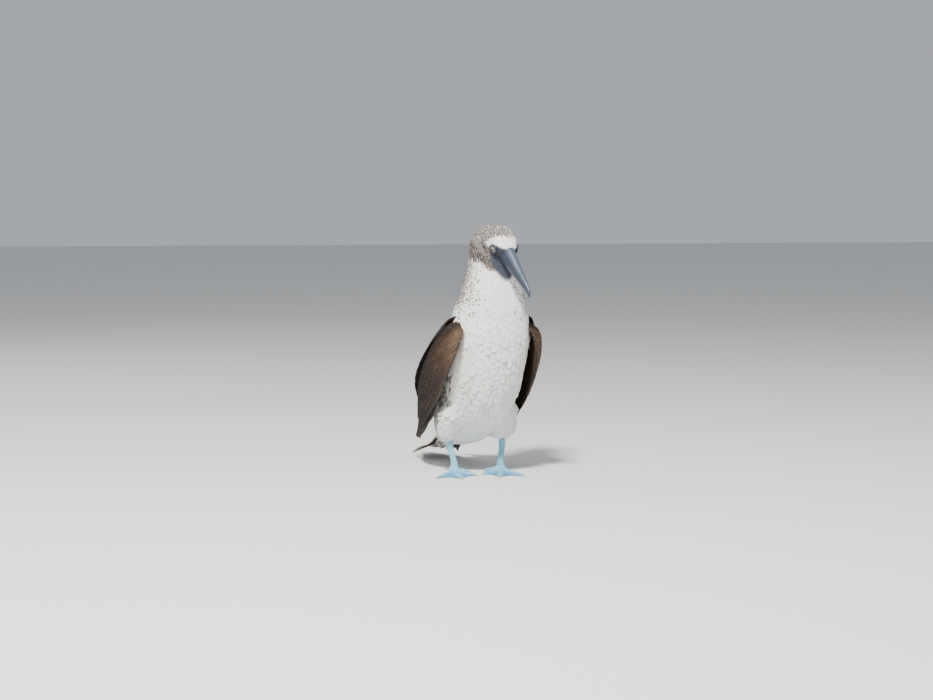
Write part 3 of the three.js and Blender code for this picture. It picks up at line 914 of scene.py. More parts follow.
@dataclass
class Markings:
    """The plumage's colours over the body, shared by skin and coat."""

    skin: Skin
    thigh_x: Span = (34, 46)
    thigh_drop: Span = (-122, -92)
    gape: float = -1
    jaw: float = -38
    chin_slope: float = 0.36
    gape_slope: float = 0.57
    brow: float = -3.5
    brow_slope: float = 0.45
    face_rear: float = 20.5
    face_front: float = 33
    chin_dark: Span = (20, 38)
    gape_dark: Span = (10, 22)
    back_turn: Span = (0.13, 0.25)
    head_z: float = 355
    cap_hem: float = -45
    cap_rear: float = -17
    cap_slope: float = 1.2
    crown_start: float = 11
    crown_dark: float = 0.85
    cheek_up: float = -9
    cheek_dark: float = 0.95
    nape_z: Span = (262, 335)
    nape_dark: float = 0.9
    side_turn: Span = (0.2, 0.41)
    side_z: Span = (272, 310)
    side_dark: float = 0.92
    front_turn: Span = (0.3, 0.44)
    front_z: Span = (300, 340)
    front_dark: float = 0.1
    flank_x: Span = (54, 64)
    flank_low: Span = (108, 122)
    flank_high: Span = (188, 206)
    flank_dark: float = 0.5
    darkest: float = 0.96
    mantle_low: Span = (110, 128)
    mantle_high: Span = (250, 274)
    mantle_x: Span = (66, 80)
    mantle_end: float = 0.7

    @classmethod
    def thigh(cls, points: Array) -> Array:
        """1 on the thighs' own feathers, 0 off them."""
        return ramp(np.abs(points[:, 0]), *cls.thigh_x) * ramp(-points[:, 2], *cls.thigh_drop)

    @classmethod
    def bare(cls, points: Array) -> Array:
        """1 on the bare face: from the brow to the jaw, and down the throat under the bill."""
        along, up, _ = BODY.head.local(points).T
        slope = np.where(along > cls.gape, cls.chin_slope, cls.gape_slope)
        jaw = cls.jaw - slope * (along - cls.gape)
        brow = cls.brow + cls.brow_slope * along
        sides = ramp(along + cls.face_rear, -1, 1) * ramp(cls.face_front - along, -2, 2)
        return ramp(up - jaw, -1, 1) * ramp(brow - up, -1, 1) * sides

    @classmethod
    def face_colour(cls, points: Array) -> Array:
        """The bare face's slate, darkest at the gape and chin."""
        along, up, _ = BODY.head.local(points).T
        dark = ramp(-up, *cls.chin_dark) + 0.5 * ramp(-along, *cls.gape_dark)
        return blend(Hue.SLATE.colour * 0.62, Hue.SLATE_DARK.colour * 1.5, dark)

    def turn(self, points: Array) -> Array:
        """How far round from the back each point is: 0 on the back, 0.5 on the belly."""
        return np.abs(self.skin.unwrap(points)[:, 0] - 0.5)

    def back(self, points: Array) -> Array:
        """1 along the back and nape, 0 on the front."""
        return 1 - ramp(self.turn(points), *self.back_turn)

    def head_dark(self, points: Array) -> Array:
        """The share of dark flecks on the head and neck, and on the flank under the wing's edge."""
        along, up, out = BODY.head.local(points).T
        x, z = np.abs(points[:, 0]), points[:, 2]
        behind = np.minimum(along - self.cap_rear, 0)
        hem = self.cap_hem + self.cap_slope * behind
        on_head = ramp(up - hem, -1.5, 1.5) * (z > self.head_z)
        crown = ramp(-(along + self.crown_start + 0.4 * np.abs(out)), -1, 6) * self.crown_dark
        cheek = ramp(self.cheek_up + 0.35 * along - up, 0, 9) * self.cheek_dark
        nape = self.back(points) * ramp(z + 7 * np.sin(x / 6), *self.nape_z) * self.nape_dark
        turn = self.turn(points)
        sides = (1 - ramp(turn, *self.side_turn)) * ramp(z, *self.side_z) * self.side_dark
        front = (1 - ramp(turn, *self.front_turn)) * ramp(z, *self.front_z) * self.front_dark
        flank = ramp(x, *self.flank_x) * ramp(z, *self.flank_low) * (1 - ramp(z, *self.flank_high))
        neck = np.maximum.reduce([nape, sides, front]) * (1 - on_head)
        head = np.maximum(crown, cheek) * on_head
        return np.clip(np.maximum.reduce([head, neck, flank * self.flank_dark]), 0, self.darkest)

    def mantle(self, points: Array) -> Array:
        """1 on the brown mantle, between the wings, and 0 on the white rump and upper back."""
        x, z = points[:, 0], points[:, 2]
        ragged = z + 6 * np.sin(x / 9) + 5 * np.sin(x / 4.1 + z / 7)
        zone = ramp(ragged, *self.mantle_low) * (1 - ramp(ragged, *self.mantle_high))
        off_neck = self.skin.unwrap(points)[:, 1] < self.mantle_end
        return self.back(points) * zone * off_neck * (1 - ramp(np.abs(x), *self.mantle_x))

    def base(self, points: Array) -> Array:
        """The mean colour of the coat."""
        colour = blend(Hue.WHITE.colour, Hue.WARM_BROWN.colour, self.head_dark(points))
        return blend(colour, Hue.BROWN.colour, self.mantle(points))


@dataclass
class Coat:
    """The small feathers of head, neck, body and thighs."""

    skin: Skin
    finish: bpy.types.Material
    most: int = 6500
    sunk: float = 0.4
    row_pitch: float = 11.5
    row_rise: float = 4.2
    row_droop: float = 0.55
    row_middle: float = 4
    rows_low: Span = (85, 130)
    rows_high: Span = (235, 285)
    head_gap: float = 2.7
    head_length: float = 8.4
    head_half: float = 1.95
    head_hem: float = 288
    body_gap: float = 3.3
    body_length: float = 13
    body_half: float = 2.9
    body_top: float = 308
    thigh_gap: float = 2.7
    thigh_length: float = 11
    thigh_half: float = 1.9
    quick_gap: float = 1.3

    def __post_init__(self) -> None:
        """Keeps the skin's markings."""
        self.marks = Markings(self.skin)

    def _lay(self, name: str, slot: str, leaves: Leaves, spacing: Callable, length: Callable, width: Callable,
             tint: Callable, seed: int, jitter: float = 0.12) -> None:
        """Scatters and builds one kind of feather, in pieces of a few thousand.

        Args:
            name: The pieces' name, to which a number is added.
            slot: Their material slot; not used.
            leaves: Their form.
            spacing: The distance between roots over the skin.
            length: Their length at places.
            width: Their half width at places.
            tint: Takes roots, and returns a colour function of the share along and across.
            seed: The draw's seed.
            jitter: How far their directions wander.
        """
        rng = np.random.default_rng(seed)
        roots, normals = self.skin.scatter(spacing, rng)
        order = np.argsort(roots[:, 2])
        for number, part in enumerate(np.array_split(order, math.ceil(len(order) / self.most)), 1):
            root, normal = roots[part], normals[part]
            along = self.skin.lie(root, normal)
            along = unit(along + rng.normal(0, jitter, (len(root), 1)) * np.cross(normal, along))
            size = rng.normal(1, 0.1, len(root))
            base = root - normal * (self.sunk - self.wave(root))[:, None]
            piece = Piece()
            leaves.build(piece, base, along, normal, length(root) * size, width(root) * size,
                         tint(root, rng), self.skin.unwrap(root), rng)
            dress(piece.make(f"{name}_{number}", self.finish), slot)
        LOG.info("%s: %d feathers", name, len(order))

    def wave(self, root: Array) -> Array:
        """How far the breast's and belly's feathers rise in shallow rows that droop towards the middle."""
        x, z = root[:, 0], root[:, 2]
        zone = ramp(z, *self.rows_low) * (1 - ramp(z, *self.rows_high)) * (1 - self.marks.back(root))
        wander = 2.2 * np.sin(x / 8.5) + 1.6 * np.sin(x / 3.7 + z / 21)
        rows = (z - self.row_droop * np.abs(x - self.row_middle) + wander) / self.row_pitch
        share = rows - np.floor(rows)
        return zone * self.row_rise * (1 - share) ** 1.5 * (0.6 + 0.4 * np.sin(x / 13 + z / 17))

    def _streaked(self, root: Array, rng: np.random.Generator) -> Callable[[Array, Array], Array]:
        """Head and neck feathers: whitish, many with a dark pointed streak along the middle."""
        share = self.marks.head_dark(root)
        dark = rng.random(len(root)) < share * 1.1
        tone = rng.normal(1, 0.06, (len(root), 1, 1))
        deep = blend(Hue.BROWN.colour, Hue.BLACK_BROWN.colour, 0.3 + 0.7 * rng.random(len(root)))
        edge = blend(Hue.WHITE.colour, Hue.CREAM.colour * 0.25, share**3)

        def tint(t: Array, s: Array) -> Array:
            """The colour at a share along and across."""
            fleck = (np.abs(s) < 0.5 + 0.6 * share[:, None] ** 2) & (t > 0.5)
            mark = (dark[:, None] & fleck).astype(float) * 0.97 + share[:, None] ** 4 * 0.45
            return blend(edge[:, None], deep[:, None], mark) * tone

        return tint

    def _soft(self, root: Array, rng: np.random.Generator) -> Callable[[Array, Array], Array]:
        """Body feathers: white, shaded at the root, and brown with pale tips over the mantle."""
        mantle = self.marks.mantle(root)
        brown = rng.random(len(root)) < mantle * 1.3
        pale = rng.random(len(root)) < 0.45
        speck = rng.random(len(root)) < self.marks.head_dark(root) * 0.7
        tone = rng.normal(1, 0.035, (len(root), 1, 1))
        dark = blend(Hue.BROWN.colour, Hue.WARM_BROWN.colour, 0.5 * pale)

        def tint(t: Array, s: Array) -> Array:
            """The colour at a share along and across."""
            white = Hue.WHITE.colour * (0.84 + 0.16 * t[..., None])
            tip = np.clip((t - 0.7) * 4, 0, 1) * np.where(pale, 0.75, 0.2)[:, None]
            brownish = blend(dark[:, None], Hue.CREAM.colour, tip)
            colour = np.where(brown[:, None, None], brownish, white)
            mark = (speck[:, None] & (np.abs(s) < 0.5) & (t > 0.3)).astype(float) * 0.8
            return blend(colour, Hue.BROWN.colour, mark) * tone

        return tint

    def build(self) -> None:
        """Makes the coat."""
        thin = 1.0

        def head_gap(p: Array) -> Array:
            """Root spacing on the head and neck."""
            z = p[:, 2]
            gap = self.head_gap + 0.5 * ramp(-z, -395, -345) + 0.5 * ramp(-z, -345, -300)
            return np.where((z > self.head_hem) & (Markings.bare(p) < 0.35), gap * thin, 0)

        def body_gap(p: Array) -> Array:
            """Root spacing on the body."""
            z = p[:, 2]
            gap = self.body_gap + 1.7 * ramp(-z, -300, -230)
            return np.where((z <= self.body_top) & (Markings.thigh(p) < 0.4), gap * thin, 0)

        def thigh_gap(p: Array) -> Array:
            """Root spacing on the thighs."""
            return np.where(Markings.thigh(p) >= 0.2, self.thigh_gap * thin, 0)

        def growth(p: Array) -> Array:
            """How much longer feathers are down the neck than on the crown."""
            return 1 + 0.8 * ramp(-p[:, 2], -390, -310)

        def at_bill(p: Array) -> Array:
            """How short feathers are round the bill."""
            return 0.5 + 0.5 * ramp(-BODY.head.local(p)[:, 0], 2, 22)

        def belly(p: Array) -> Array:
            """0 on the breast and 1 on the belly, where feathers are longest."""
            return ramp(-p[:, 2], -305, -215)

        def even(size: float) -> Callable[[Array], Array]:
            """The same size at every place."""
            return lambda p: np.full(len(p), size)

        self._lay("coat_head", "plumage_speckled", Leaves(Tract.LANCE.value, 0.3, 0.13), head_gap,
                  lambda p: self.head_length * growth(p) ** 0.8 * at_bill(p),
                  lambda p: self.head_half * growth(p) ** 0.7, self._streaked, SEED)
        self._lay("coat_body", "plumage_white", Leaves(Tract.SCALLOP.value, 0.12, 0.045, 0.35), body_gap,
                  lambda p: self.body_length + 8 * belly(p),
                  lambda p: self.body_half + 3.2 * belly(p), self._soft, SEED + 1)
        self._lay("coat_thighs", "plumage_white", Leaves(Tract.FLUFF.value, 0.3, 0.1, 0.3), thigh_gap,
                  even(self.thigh_length), even(self.thigh_half), self._soft, SEED + 2, 0.22)


@dataclass
class Vane:
    """One large feather: a closed leaf with a raised shaft and a soft, split edge."""

    half: float
    blunt: float = 0.45
    camber: float = 1.1
    rows: int = 13
    columns: int = 7
    thick: float = 0.35
    shaft_rise: float = 0.35
    barb_repeat: float = 3.0

    def outline(self, t: Array) -> Array:
        """The half width at a share along, from narrow root to rounded tip."""
        swell = 0.5 + 0.5 * np.sin(np.pi * np.minimum(1, 0.18 + t * 1.1))
        taper = np.minimum(1, 1.3 * np.maximum(0, 1 - t) ** self.blunt)
        return np.maximum(self.half * 0.05, self.half * swell * taper)

    def build(self, piece: Piece, place: Callable[[Array, Array, Array], Array], root: Sequence[float],
              tip: Sequence[float], paint: Callable[[Array, Array], Array], bake: Array,
              rng: np.random.Generator) -> None:
        """Adds the feather.

        Args:
            piece: What it joins.
            place: Turns share, across and height on its sheet into places.
            root: Share, across and height of its root.
            tip: The same of its tip.
            paint: Its colour at a share along and across.
            bake: Its root's place on the bake map.
            rng: The source of its small differences.
        """
        along, beside = np.linspace(0, 1, self.rows) ** 0.9, np.linspace(-1, 1, self.columns)
        t, s = np.meshgrid(along, beside, indexing="ij")
        line = np.asarray(root)[:, None, None] + (np.asarray(tip) - np.asarray(root))[:, None, None] * t
        width = self.outline(t) * (1 + rng.normal(0, 0.03, t.shape) * (np.abs(s) > 0.9))
        height = line[2] + self.camber * (1 - s**2) + self.shaft_rise * (np.abs(s) < 0.1)
        top = place(line[0], line[1] + s * width, height)
        rims = [0, -1]
        low = place(line[0][:, rims], (line[1] + s * width)[:, rims], height[:, rims] - self.thick)
        n, m = self.columns, self.rows
        base = n * m
        faces = [(j * n + i, j * n + i + 1, (j + 1) * n + i + 1, (j + 1) * n + i)
                 for j in range(m - 1) for i in range(n - 1)]
        for j in range(m - 1):
            a, b, c, d = base + 2 * j, base + 2 * j + 1, base + 2 * j + 3, base + 2 * j + 2
            faces.append((a, d, c, b))
            faces.append((j * n, (j + 1) * n, d, a))
            faces.append((j * n + n - 1, b, c, (j + 1) * n + n - 1))
        faces.append((base, base + 1, *(n - 1 - i for i in range(n))))
        end = (m - 1) * n
        faces.append((base + 2 * m - 1, base + 2 * m - 2, *(end + i for i in range(n))))
        points, faces = solid(faces, np.vstack([top.reshape(-1, 3), low.reshape(-1, 3)]))
        tt = np.concatenate([t.ravel(), t[:, rims].ravel()])
        ss = np.concatenate([s.ravel(), s[:, rims].ravel()])
        local = np.stack([ss / 2 + 0.5, tt], axis=-1)
        vane_map = local * np.array([1.0, self.barb_repeat])
        piece.add(points, faces, paint(tt, ss), vane_map, bake + (local - 0.5) * BAKE_PATCH)


@dataclass(frozen=True)
class Tier:
    """One tier of long wing feathers, from its first to its last.

    Shares run along the wing, across parts from -1 at the front edge to 1 at the rear edge. The first
    feather lies at height base, and each next one at pitch above it.
    """

    count: int
    root_share: float
    root_across: Span
    tip_share: Span
    tip_across: Span
    base: float
    half: float
    blunt: float
    pitch: float


@dataclass
class Wing:
    """A folded wing: its covered arm, rows of coverts, and the long flight feathers.

    A row is ahead, z, the distance out from the middle, the half width and the lean in degrees.
    """

    sign: int
    hug: float = 1 / 125
    arm_end: float = 0.5
    arm_thick: float = 15.4
    arm_net: tuple[int, int] = (30, 40)
    arm_inset: float = 2.4
    arm_squareness: float = 2.3
    arm_lift: float = 0.42
    arm_rise: float = 0.5
    covert_first: float = 0.56
    covert_pitch: float = 0.024
    covert_half: float = 6.2
    covert_gap: float = 7.4
    covert_edge: float = 0.97
    tiers: tuple[Tier, ...] = (
        Tier(9, 0.4, (-0.55, 0.1), (1.0, 0.8), (0.0, 0.35), 0.6, 8.5, 0.6, 0.55),
        Tier(18, 0.34, (-0.66, 0.74), (0.66, 0.74), (-0.82, 0.72), 5.4, 8.6, 0.4, 0.42),
        Tier(12, 0.24, (-0.1, 0.78), (0.56, 0.62), (-0.4, 0.8), 8.6, 8.4, 0.42, 0.4),
    )
    rows: tuple[tuple[float, ...], ...] = (
        (84, 262, 60, 24, 0),
        (66, 240, 77, 38, 2),
        (30, 203, 87, 46, 4),
        (-16, 156, 89, 48, 8),
        (-66, 114, 77, 44, 18),
        (-118, 84, 57, 35, 32),
        (-172, 61, 39, 25, 44),
        (-222, 43, 25, 16, 52),
        (-262, 30, 15, 8, 56),
    )

    def half(self, share: Any) -> Array:
        """The sheet's half width at a share along it."""
        return read_rows(self.rows, np.asarray(share) * (len(self.rows) - 1))[..., 3]

    def place(self, share: Array, w: Array, h: Array) -> Array:
        """The places at a share along the sheet, w across it towards the back and h above it."""
        share, w, h = np.broadcast_arrays(*(np.asarray(v, float) for v in (share, w, h)))
        last = len(self.rows) - 1
        t = share * last
        ahead, z, out, _, lean = np.moveaxis(read_rows(self.rows, t), -1, 0)
        a0, z0, x0 = np.moveaxis(read_rows(self.rows, t - 0.25), -1, 0)[:3]
        a1, z1, x1 = np.moveaxis(read_rows(self.rows, t + 0.25), -1, 0)[:3]
        run = unit(at(x1 - x0, a1 - a0, z1 - z0))
        outward = at(np.cos(np.radians(lean)), 0, np.sin(np.radians(lean)))
        outward = unit(outward - dot(outward, run)[..., None] * run)
        across = np.cross(run, outward)
        across = across * np.where(across[..., 2:] < 0, -1, 1)
        p = at(out, ahead, z) + across * w[..., None] + outward * (h - w * w * self.hug)[..., None]
        return p * np.array([self.sign, 1, 1])

    def thickness(self, share: Any) -> tuple[Array, Array]:
        """The arm's half thickness and half width at a share along the sheet."""
        f = np.clip(np.asarray(share, float) / self.arm_end, 0, 1)
        nose = np.sqrt(np.minimum(1, 0.03 + f * 4.2))
        thick = self.arm_thick * nose * (1 - 0.5 * f**2)
        return thick, self.half(share) * (0.35 + 0.65 * nose) * (1 - 0.12 * f)

    def height(self, share: float, across: float) -> float:
        """The arm's outer surface above the sheet at an across part from -1 to 1."""
        thick, _ = self.thickness(share)
        rise = np.maximum(0, 1 - np.abs(across) ** self.arm_squareness) ** (1 / self.arm_squareness)
        return float(thick * (self.arm_lift + self.arm_rise * rise))

    def arm(self, piece: Piece) -> None:
        """Adds the arm's core."""
        slices, count = self.arm_net
        rings = []
        for share in np.linspace(0.01, self.arm_end, slices):
            thick, half = self.thickness(share)
            side, rise = oval(turns(count), self.arm_squareness)
            lift = (thick - self.arm_inset) * (self.arm_lift + self.arm_rise * rise)
            rings.append(self.place(share, (half - self.arm_inset) * side, lift))
        piece.add_loft(np.stack(rings), Hue.BROWN.colour)

    def _colour(self, share: float, across: float, rng: np.random.Generator, flight: bool) -> Callable:
        """A wing feather's paint.

        Args:
            share: Where along the wing it is; a warmer brown near the wrist, partly its own colour and partly
                painted light, dark further on.
            across: Where across the wing it is; warmest at the front edge, where the painted light falls too.
            rng: The source of its small difference.
            flight: Whether it is a flight feather, which is near black with a narrow edge.

        Returns:
            Its colour at a share along and across.
        """
        # partly painted light: the wrist and front edge, the top of the folded wing, get a warmer brown for
        # the light falling on them, over the coverts' own brown
        warm_and_lit = step(0.27 - share, 0.0, 0.2) * step(0.5 - across, 0.0, 1.0)
        body = blend(Hue.BLACK_BROWN.colour * 1.6, Hue.WARM_BROWN.colour, warm_and_lit)
        if flight:
            body = Hue.BLACK_BROWN.colour
        body = body * rng.normal(1, 0.2)
        edge = blend(body, Hue.PALE_EDGE.colour, 0.3 if flight else 0.55)

        def paint(t: Array, s: Array) -> Array:
            """The colour at a share along and across."""
            rim = np.maximum(ramp(np.abs(s), 0.75, 1.0), ramp(t, 0.9, 1.0)) * 0.7
            shaft = (np.abs(s) < 0.1) * 0.35
            return blend(blend(body, edge, rim), Hue.BLACK_BROWN.colour, shaft)

        return paint

    def _bake(self, share: float, across: float) -> Array:
        """A root's place on the wing's own map."""
        return np.array([0.05 + 0.9 * share, 0.05 + 0.9 * (across / 2 + 0.5)])

    def coverts(self, piece: Piece, rng: np.random.Generator) -> None:
        """Adds the coverts in rows from the rear forward, each row over the one behind it."""
        for share in np.arange(self.covert_first, 0.0, -self.covert_pitch):
            half = float(self.thickness(share)[1])
            size = 0.55 + 0.9 * step(share, 0.05, 0.5)
            count = max(5, int(2 * half / (self.covert_gap * size)))
            for k in range(count):
                across = self.covert_edge * (2 * (k + rng.uniform(0.2, 0.8)) / count - 1)
                start = share + rng.normal(0, 0.004)
                length = (0.075 + 0.13 * step(share, 0.1, 0.5)) * rng.normal(1, 0.06)
                root_height = self.height(start, across) - 2.6 - 6.0 * max(0, share - self.arm_end)
                end = min(start + length, 0.8)
                narrower = min(1.0, float(self.half(end) / self.half(max(start, 0.12))))
                tip_height = self.height(end, across) + 0.4
                if share > 0.4:
                    tip_height = max(tip_height, 5.5 - 6 * max(0.0, end - 0.5))
                tip_across = across * half * narrower * (1.0 if across > 0 else 0.98) - 2.0
                Vane(self.covert_half * size, 0.42, 0.9, 8, 5).build(
                    piece, self.place, (start, across * half, root_height), (end, tip_across, tip_height),
                    self._colour(share, across, rng, False), self._bake(share, across), rng)

    def flight(self, piece: Piece, rng: np.random.Generator) -> None:
        """Adds the primaries, secondaries and tertials, the rear edge's feathers uppermost."""
        for tier in self.tiers:
            for i in range(tier.count):
                f = i / (tier.count - 1)
                spans = (tier.tip_share, tier.root_across, tier.tip_across)
                end, across, far = (a + (b - a) * f for a, b in spans)
                height = tier.base + i * tier.pitch
                root = (tier.root_share, across * float(self.half(tier.root_share)), height)
                tip = (end, far * float(self.half(end)) * 0.82 + rng.normal(0, 0.5), height + 0.3)
                Vane(tier.half, tier.blunt, 0.9, 16, 7).build(
                    piece, self.place, root, tip, self._colour(end, across, rng, True),
                    self._bake(tier.root_share, across), rng)

    def build(self, side: str, finish: bpy.types.Material) -> None:
        """Makes the wing's piece."""
        rng = np.random.default_rng(SEED + 10)
        piece = Piece()
        self.arm(piece)
        self.flight(piece, rng)
        self.coverts(piece, rng)
        dress(piece.make(f"plumes_wing_{side}", finish), "wing_brown", f"wing_{side}")


@dataclass
class Scapulars:
    """The shoulder feathers that lie from the back over the wing's upper edge and hide the join."""

    wing: Wing
    skin: Skin
    first: float = 0.1
    last: float = 0.5
    rows: int = 34
    across: tuple[float, ...] = (0.92, 0.7, 0.48, 0.26, 0.06)
    half: float = 0.27
    on_wing: float = 0.62
    wing_height: float = 15.5
    inward: float = 30
    upward: float = 12
    arch: float = 5
    sunk: float = 1.2
    rise: tuple[float, float, float] = (0.5, 0.35, 1.0)

    def __post_init__(self) -> None:
        """Finds both edges of the bridge, on the back and on the wing."""
        self.shares = np.linspace(0, 0.8, 60)
        height = self.wing_height - 16 * np.maximum(self.shares - 0.42, 0)
        self.outer = self.wing.place(self.shares, self.on_wing * self.wing.half(self.shares), height)
        lean = np.array([-self.wing.sign * self.inward, 0.0, self.upward]) * (1 - 0.6 * self.shares[:, None])
        gap = np.linalg.norm(self.skin.points[None] - (self.outer + lean)[:, None], axis=2)
        found = np.pad(self.skin.points[np.argmin(gap, axis=1)], ((4, 4), (0, 0)), "edge")
        self.inner = np.stack([np.convolve(line, np.ones(9) / 9, "valid") for line in found.T], axis=-1)

    def place(self, share: Array, w: Array, h: Array) -> Array:
        """The places at a share along the wing, w from the back at 0 to the wing at 1, and h above."""
        share, w, h = np.broadcast_arrays(*(np.asarray(v, float) for v in (share, w, h)))

        def edge(line: Array) -> Array:
            """One edge's places at the shares."""
            return np.stack([np.interp(share, self.shares, line[:, k]) for k in range(3)], axis=-1)

        inner, outer = edge(self.inner), edge(self.outer)
        across = unit(outer - inner)
        rise = unit(np.array(self.rise) * np.array([self.wing.sign, 1, 1]))
        rise = unit(rise - dot(rise, across)[..., None] * across)
        bow = 4 * self.arch * w * (1 - w) - self.sunk
        return inner + (outer - inner) * w[..., None] + rise * (h + bow)[..., None]

    def _colour(self, w: float, rng: np.random.Generator) -> Callable[[Array, Array], Array]:
        """A shoulder feather's paint: brown with a worn white tip near the back, darker towards the wing."""
        body = blend(Hue.BROWN.colour, Hue.BLACK_BROWN.colour * 1.6, w) * rng.normal(1, 0.15)
        pale = rng.random() < 0.5 - 0.45 * w

        def paint(t: Array, s: Array) -> Array:
            """The colour at a share along and across."""
            tip = ramp(t, 0.72, 0.95) * (0.8 if pale else 0.12)
            return blend(body, Hue.CREAM.colour, tip)

        return paint

    def build(self, side: str, finish: bpy.types.Material) -> None:
        """Makes one side's shoulder feathers, the rear ones first."""
        rng = np.random.default_rng(SEED + 30)
        piece = Piece()
        for share in np.linspace(self.last, self.first, self.rows):
            for w in self.across:
                start = share + rng.normal(0, 0.006)
                reach = (0.1 + 0.05 * share) * rng.normal(1, 0.08)
                Vane(self.half, 0.42, 0.7, 7, 5).build(
                    piece, self.place, (start, w - 0.05, -0.6), (start + reach, w + 0.12, 1.0),
                    self._colour(w, rng), np.array([0.05 + 0.9 * share, 0.05 + 0.9 * w]), rng)
        dress(piece.make(f"shoulder_plumes_{side}", finish), "wing_brown")


@dataclass
class Tail:
    """The wedge of tail feathers under their coverts; a row is ahead and z."""

    feathers: int = 14
    half: float = 10.5
    core_share: float = 0.42
    core_half: float = 19
    core_high: float = 11
    core_taper: float = 0.96
    core_flatten: float = 0.35
    core_net: tuple[int, int] = (16, 26)
    droop: float = 1 / 260
    coverts_across: int = 9
    covert_half: float = 5.4
    rows: tuple[tuple[float, ...], ...] = ((-146, 52), (-178, 36), (-214, 24), (-250, 14.5), (-286, 9.5))

    def place(self, share: Array, w: Array, h: Array) -> Array:
        """The places at a share along the tail, w across and h above its middle line."""
        share, w, h = np.broadcast_arrays(*(np.asarray(v, float) for v in (share, w, h)))
        t = share * (len(self.rows) - 1)
        ahead, z = np.moveaxis(read_rows(self.rows, t), -1, 0)
        a1, z1 = np.moveaxis(read_rows(self.rows, t + 0.2), -1, 0)
        a0, z0 = np.moveaxis(read_rows(self.rows, t - 0.2), -1, 0)
        run = unit(at(0, a1 - a0, z1 - z0))
        rise = np.cross(np.array([1.0, 0, 0]), run)
        rise = rise * np.where(rise[..., 2:] < 0, -1, 1)
        return at(w, ahead, z) + rise * (h - w * w * self.droop)[..., None]

    def _colour(self, pair: int, rng: np.random.Generator, covert: bool) -> Callable:
        """A tail feather's paint: brown, the middle pair paler, the coverts white and brown."""
        body = blend(Hue.CREAM.colour * 0.6, Hue.BROWN.colour, 0.35 + pair * 0.22)
        if covert:
            body = Hue.WHITE.colour * 0.95 if rng.random() < 0.7 else Hue.WARM_BROWN.colour
        body = body * rng.normal(1, 0.06)
        edge = Hue.WHITE.colour if covert else Hue.PALE_EDGE.colour

        def paint(t: Array, s: Array) -> Array:
            """The colour at a share along and across."""
            rim = np.maximum(ramp(np.abs(s), 0.7, 1.0), ramp(t, 0.92, 1.0)) * 0.5
            return blend(body, edge, rim)

        return paint

    def core(self, piece: Piece) -> None:
        """Adds the body under the coverts."""
        slices, count = self.core_net
        rings = []
        for f in np.linspace(0, 1, slices):
            side, rise = oval(turns(count))
            shrink = math.sqrt(1 - self.core_taper * f * f)
            high = self.core_high * shrink * rise * (1 - self.core_flatten * f) - 1
            rings.append(self.place(self.core_share * f - 0.02, self.core_half * shrink * side, high))
        piece.add_loft(np.stack(rings), Hue.CREAM.colour)

    def coverts(self, piece: Piece, rng: np.random.Generator) -> None:
        """Adds the small feathers over and under the tail's root."""
        for above in (True, False):
            up = 1.0 if above else -1.0
            for share in np.arange(0.3, -0.01, -0.035):
                for k in range(self.coverts_across):
                    across = -1 + 2 * (k + rng.random()) / self.coverts_across
                    f = (share + 0.02) / self.core_share
                    size = math.sqrt(max(0.05, 1 - self.core_taper * f * f))
                    body = 11 * size * (1 - self.core_flatten * f) * math.sqrt(max(0.0, 1 - across**2))
                    aside = 18 * size * across
                    root_height = up * body - 1.5
                    tip_height = up * (body * 0.6 + 1.0) + (1.2 if above else -2.4)
                    Vane(self.covert_half, 0.4, 0.8 * up, 7, 5).build(
                        piece, self.place, (share, aside, root_height),
                        (share + 0.17, aside * 1.08, tip_height), self._colour(0, rng, True),
                        np.array([0.1 + 0.8 * share, 0.1 + 0.05 * k]), rng)

    def build(self, finish: bpy.types.Material) -> None:
        """Makes the tail's piece."""
        rng = np.random.default_rng(SEED + 20)
        piece = Piece()
        self.core(piece)
        for i in range(self.feathers):
            pair, sign = i // 2, 1 if i % 2 else -1
            root = (0.1, sign * (2 + pair * 1.6), 4.4 - i * 0.8)
            tip = (1 - 0.045 * pair**1.25, sign * (3 + pair * 7.2), 4.2 - i * 0.73)
            Vane(self.half, 0.6, 0.7, 18, 7).build(
                piece, self.place, root, tip, self._colour(pair, rng, False),
                np.array([0.1 + 0.06 * i, 0.5]), rng)
        self.coverts(piece, rng)
        dress(piece.make("plumes_tail", finish), "tail_brown", "tail")


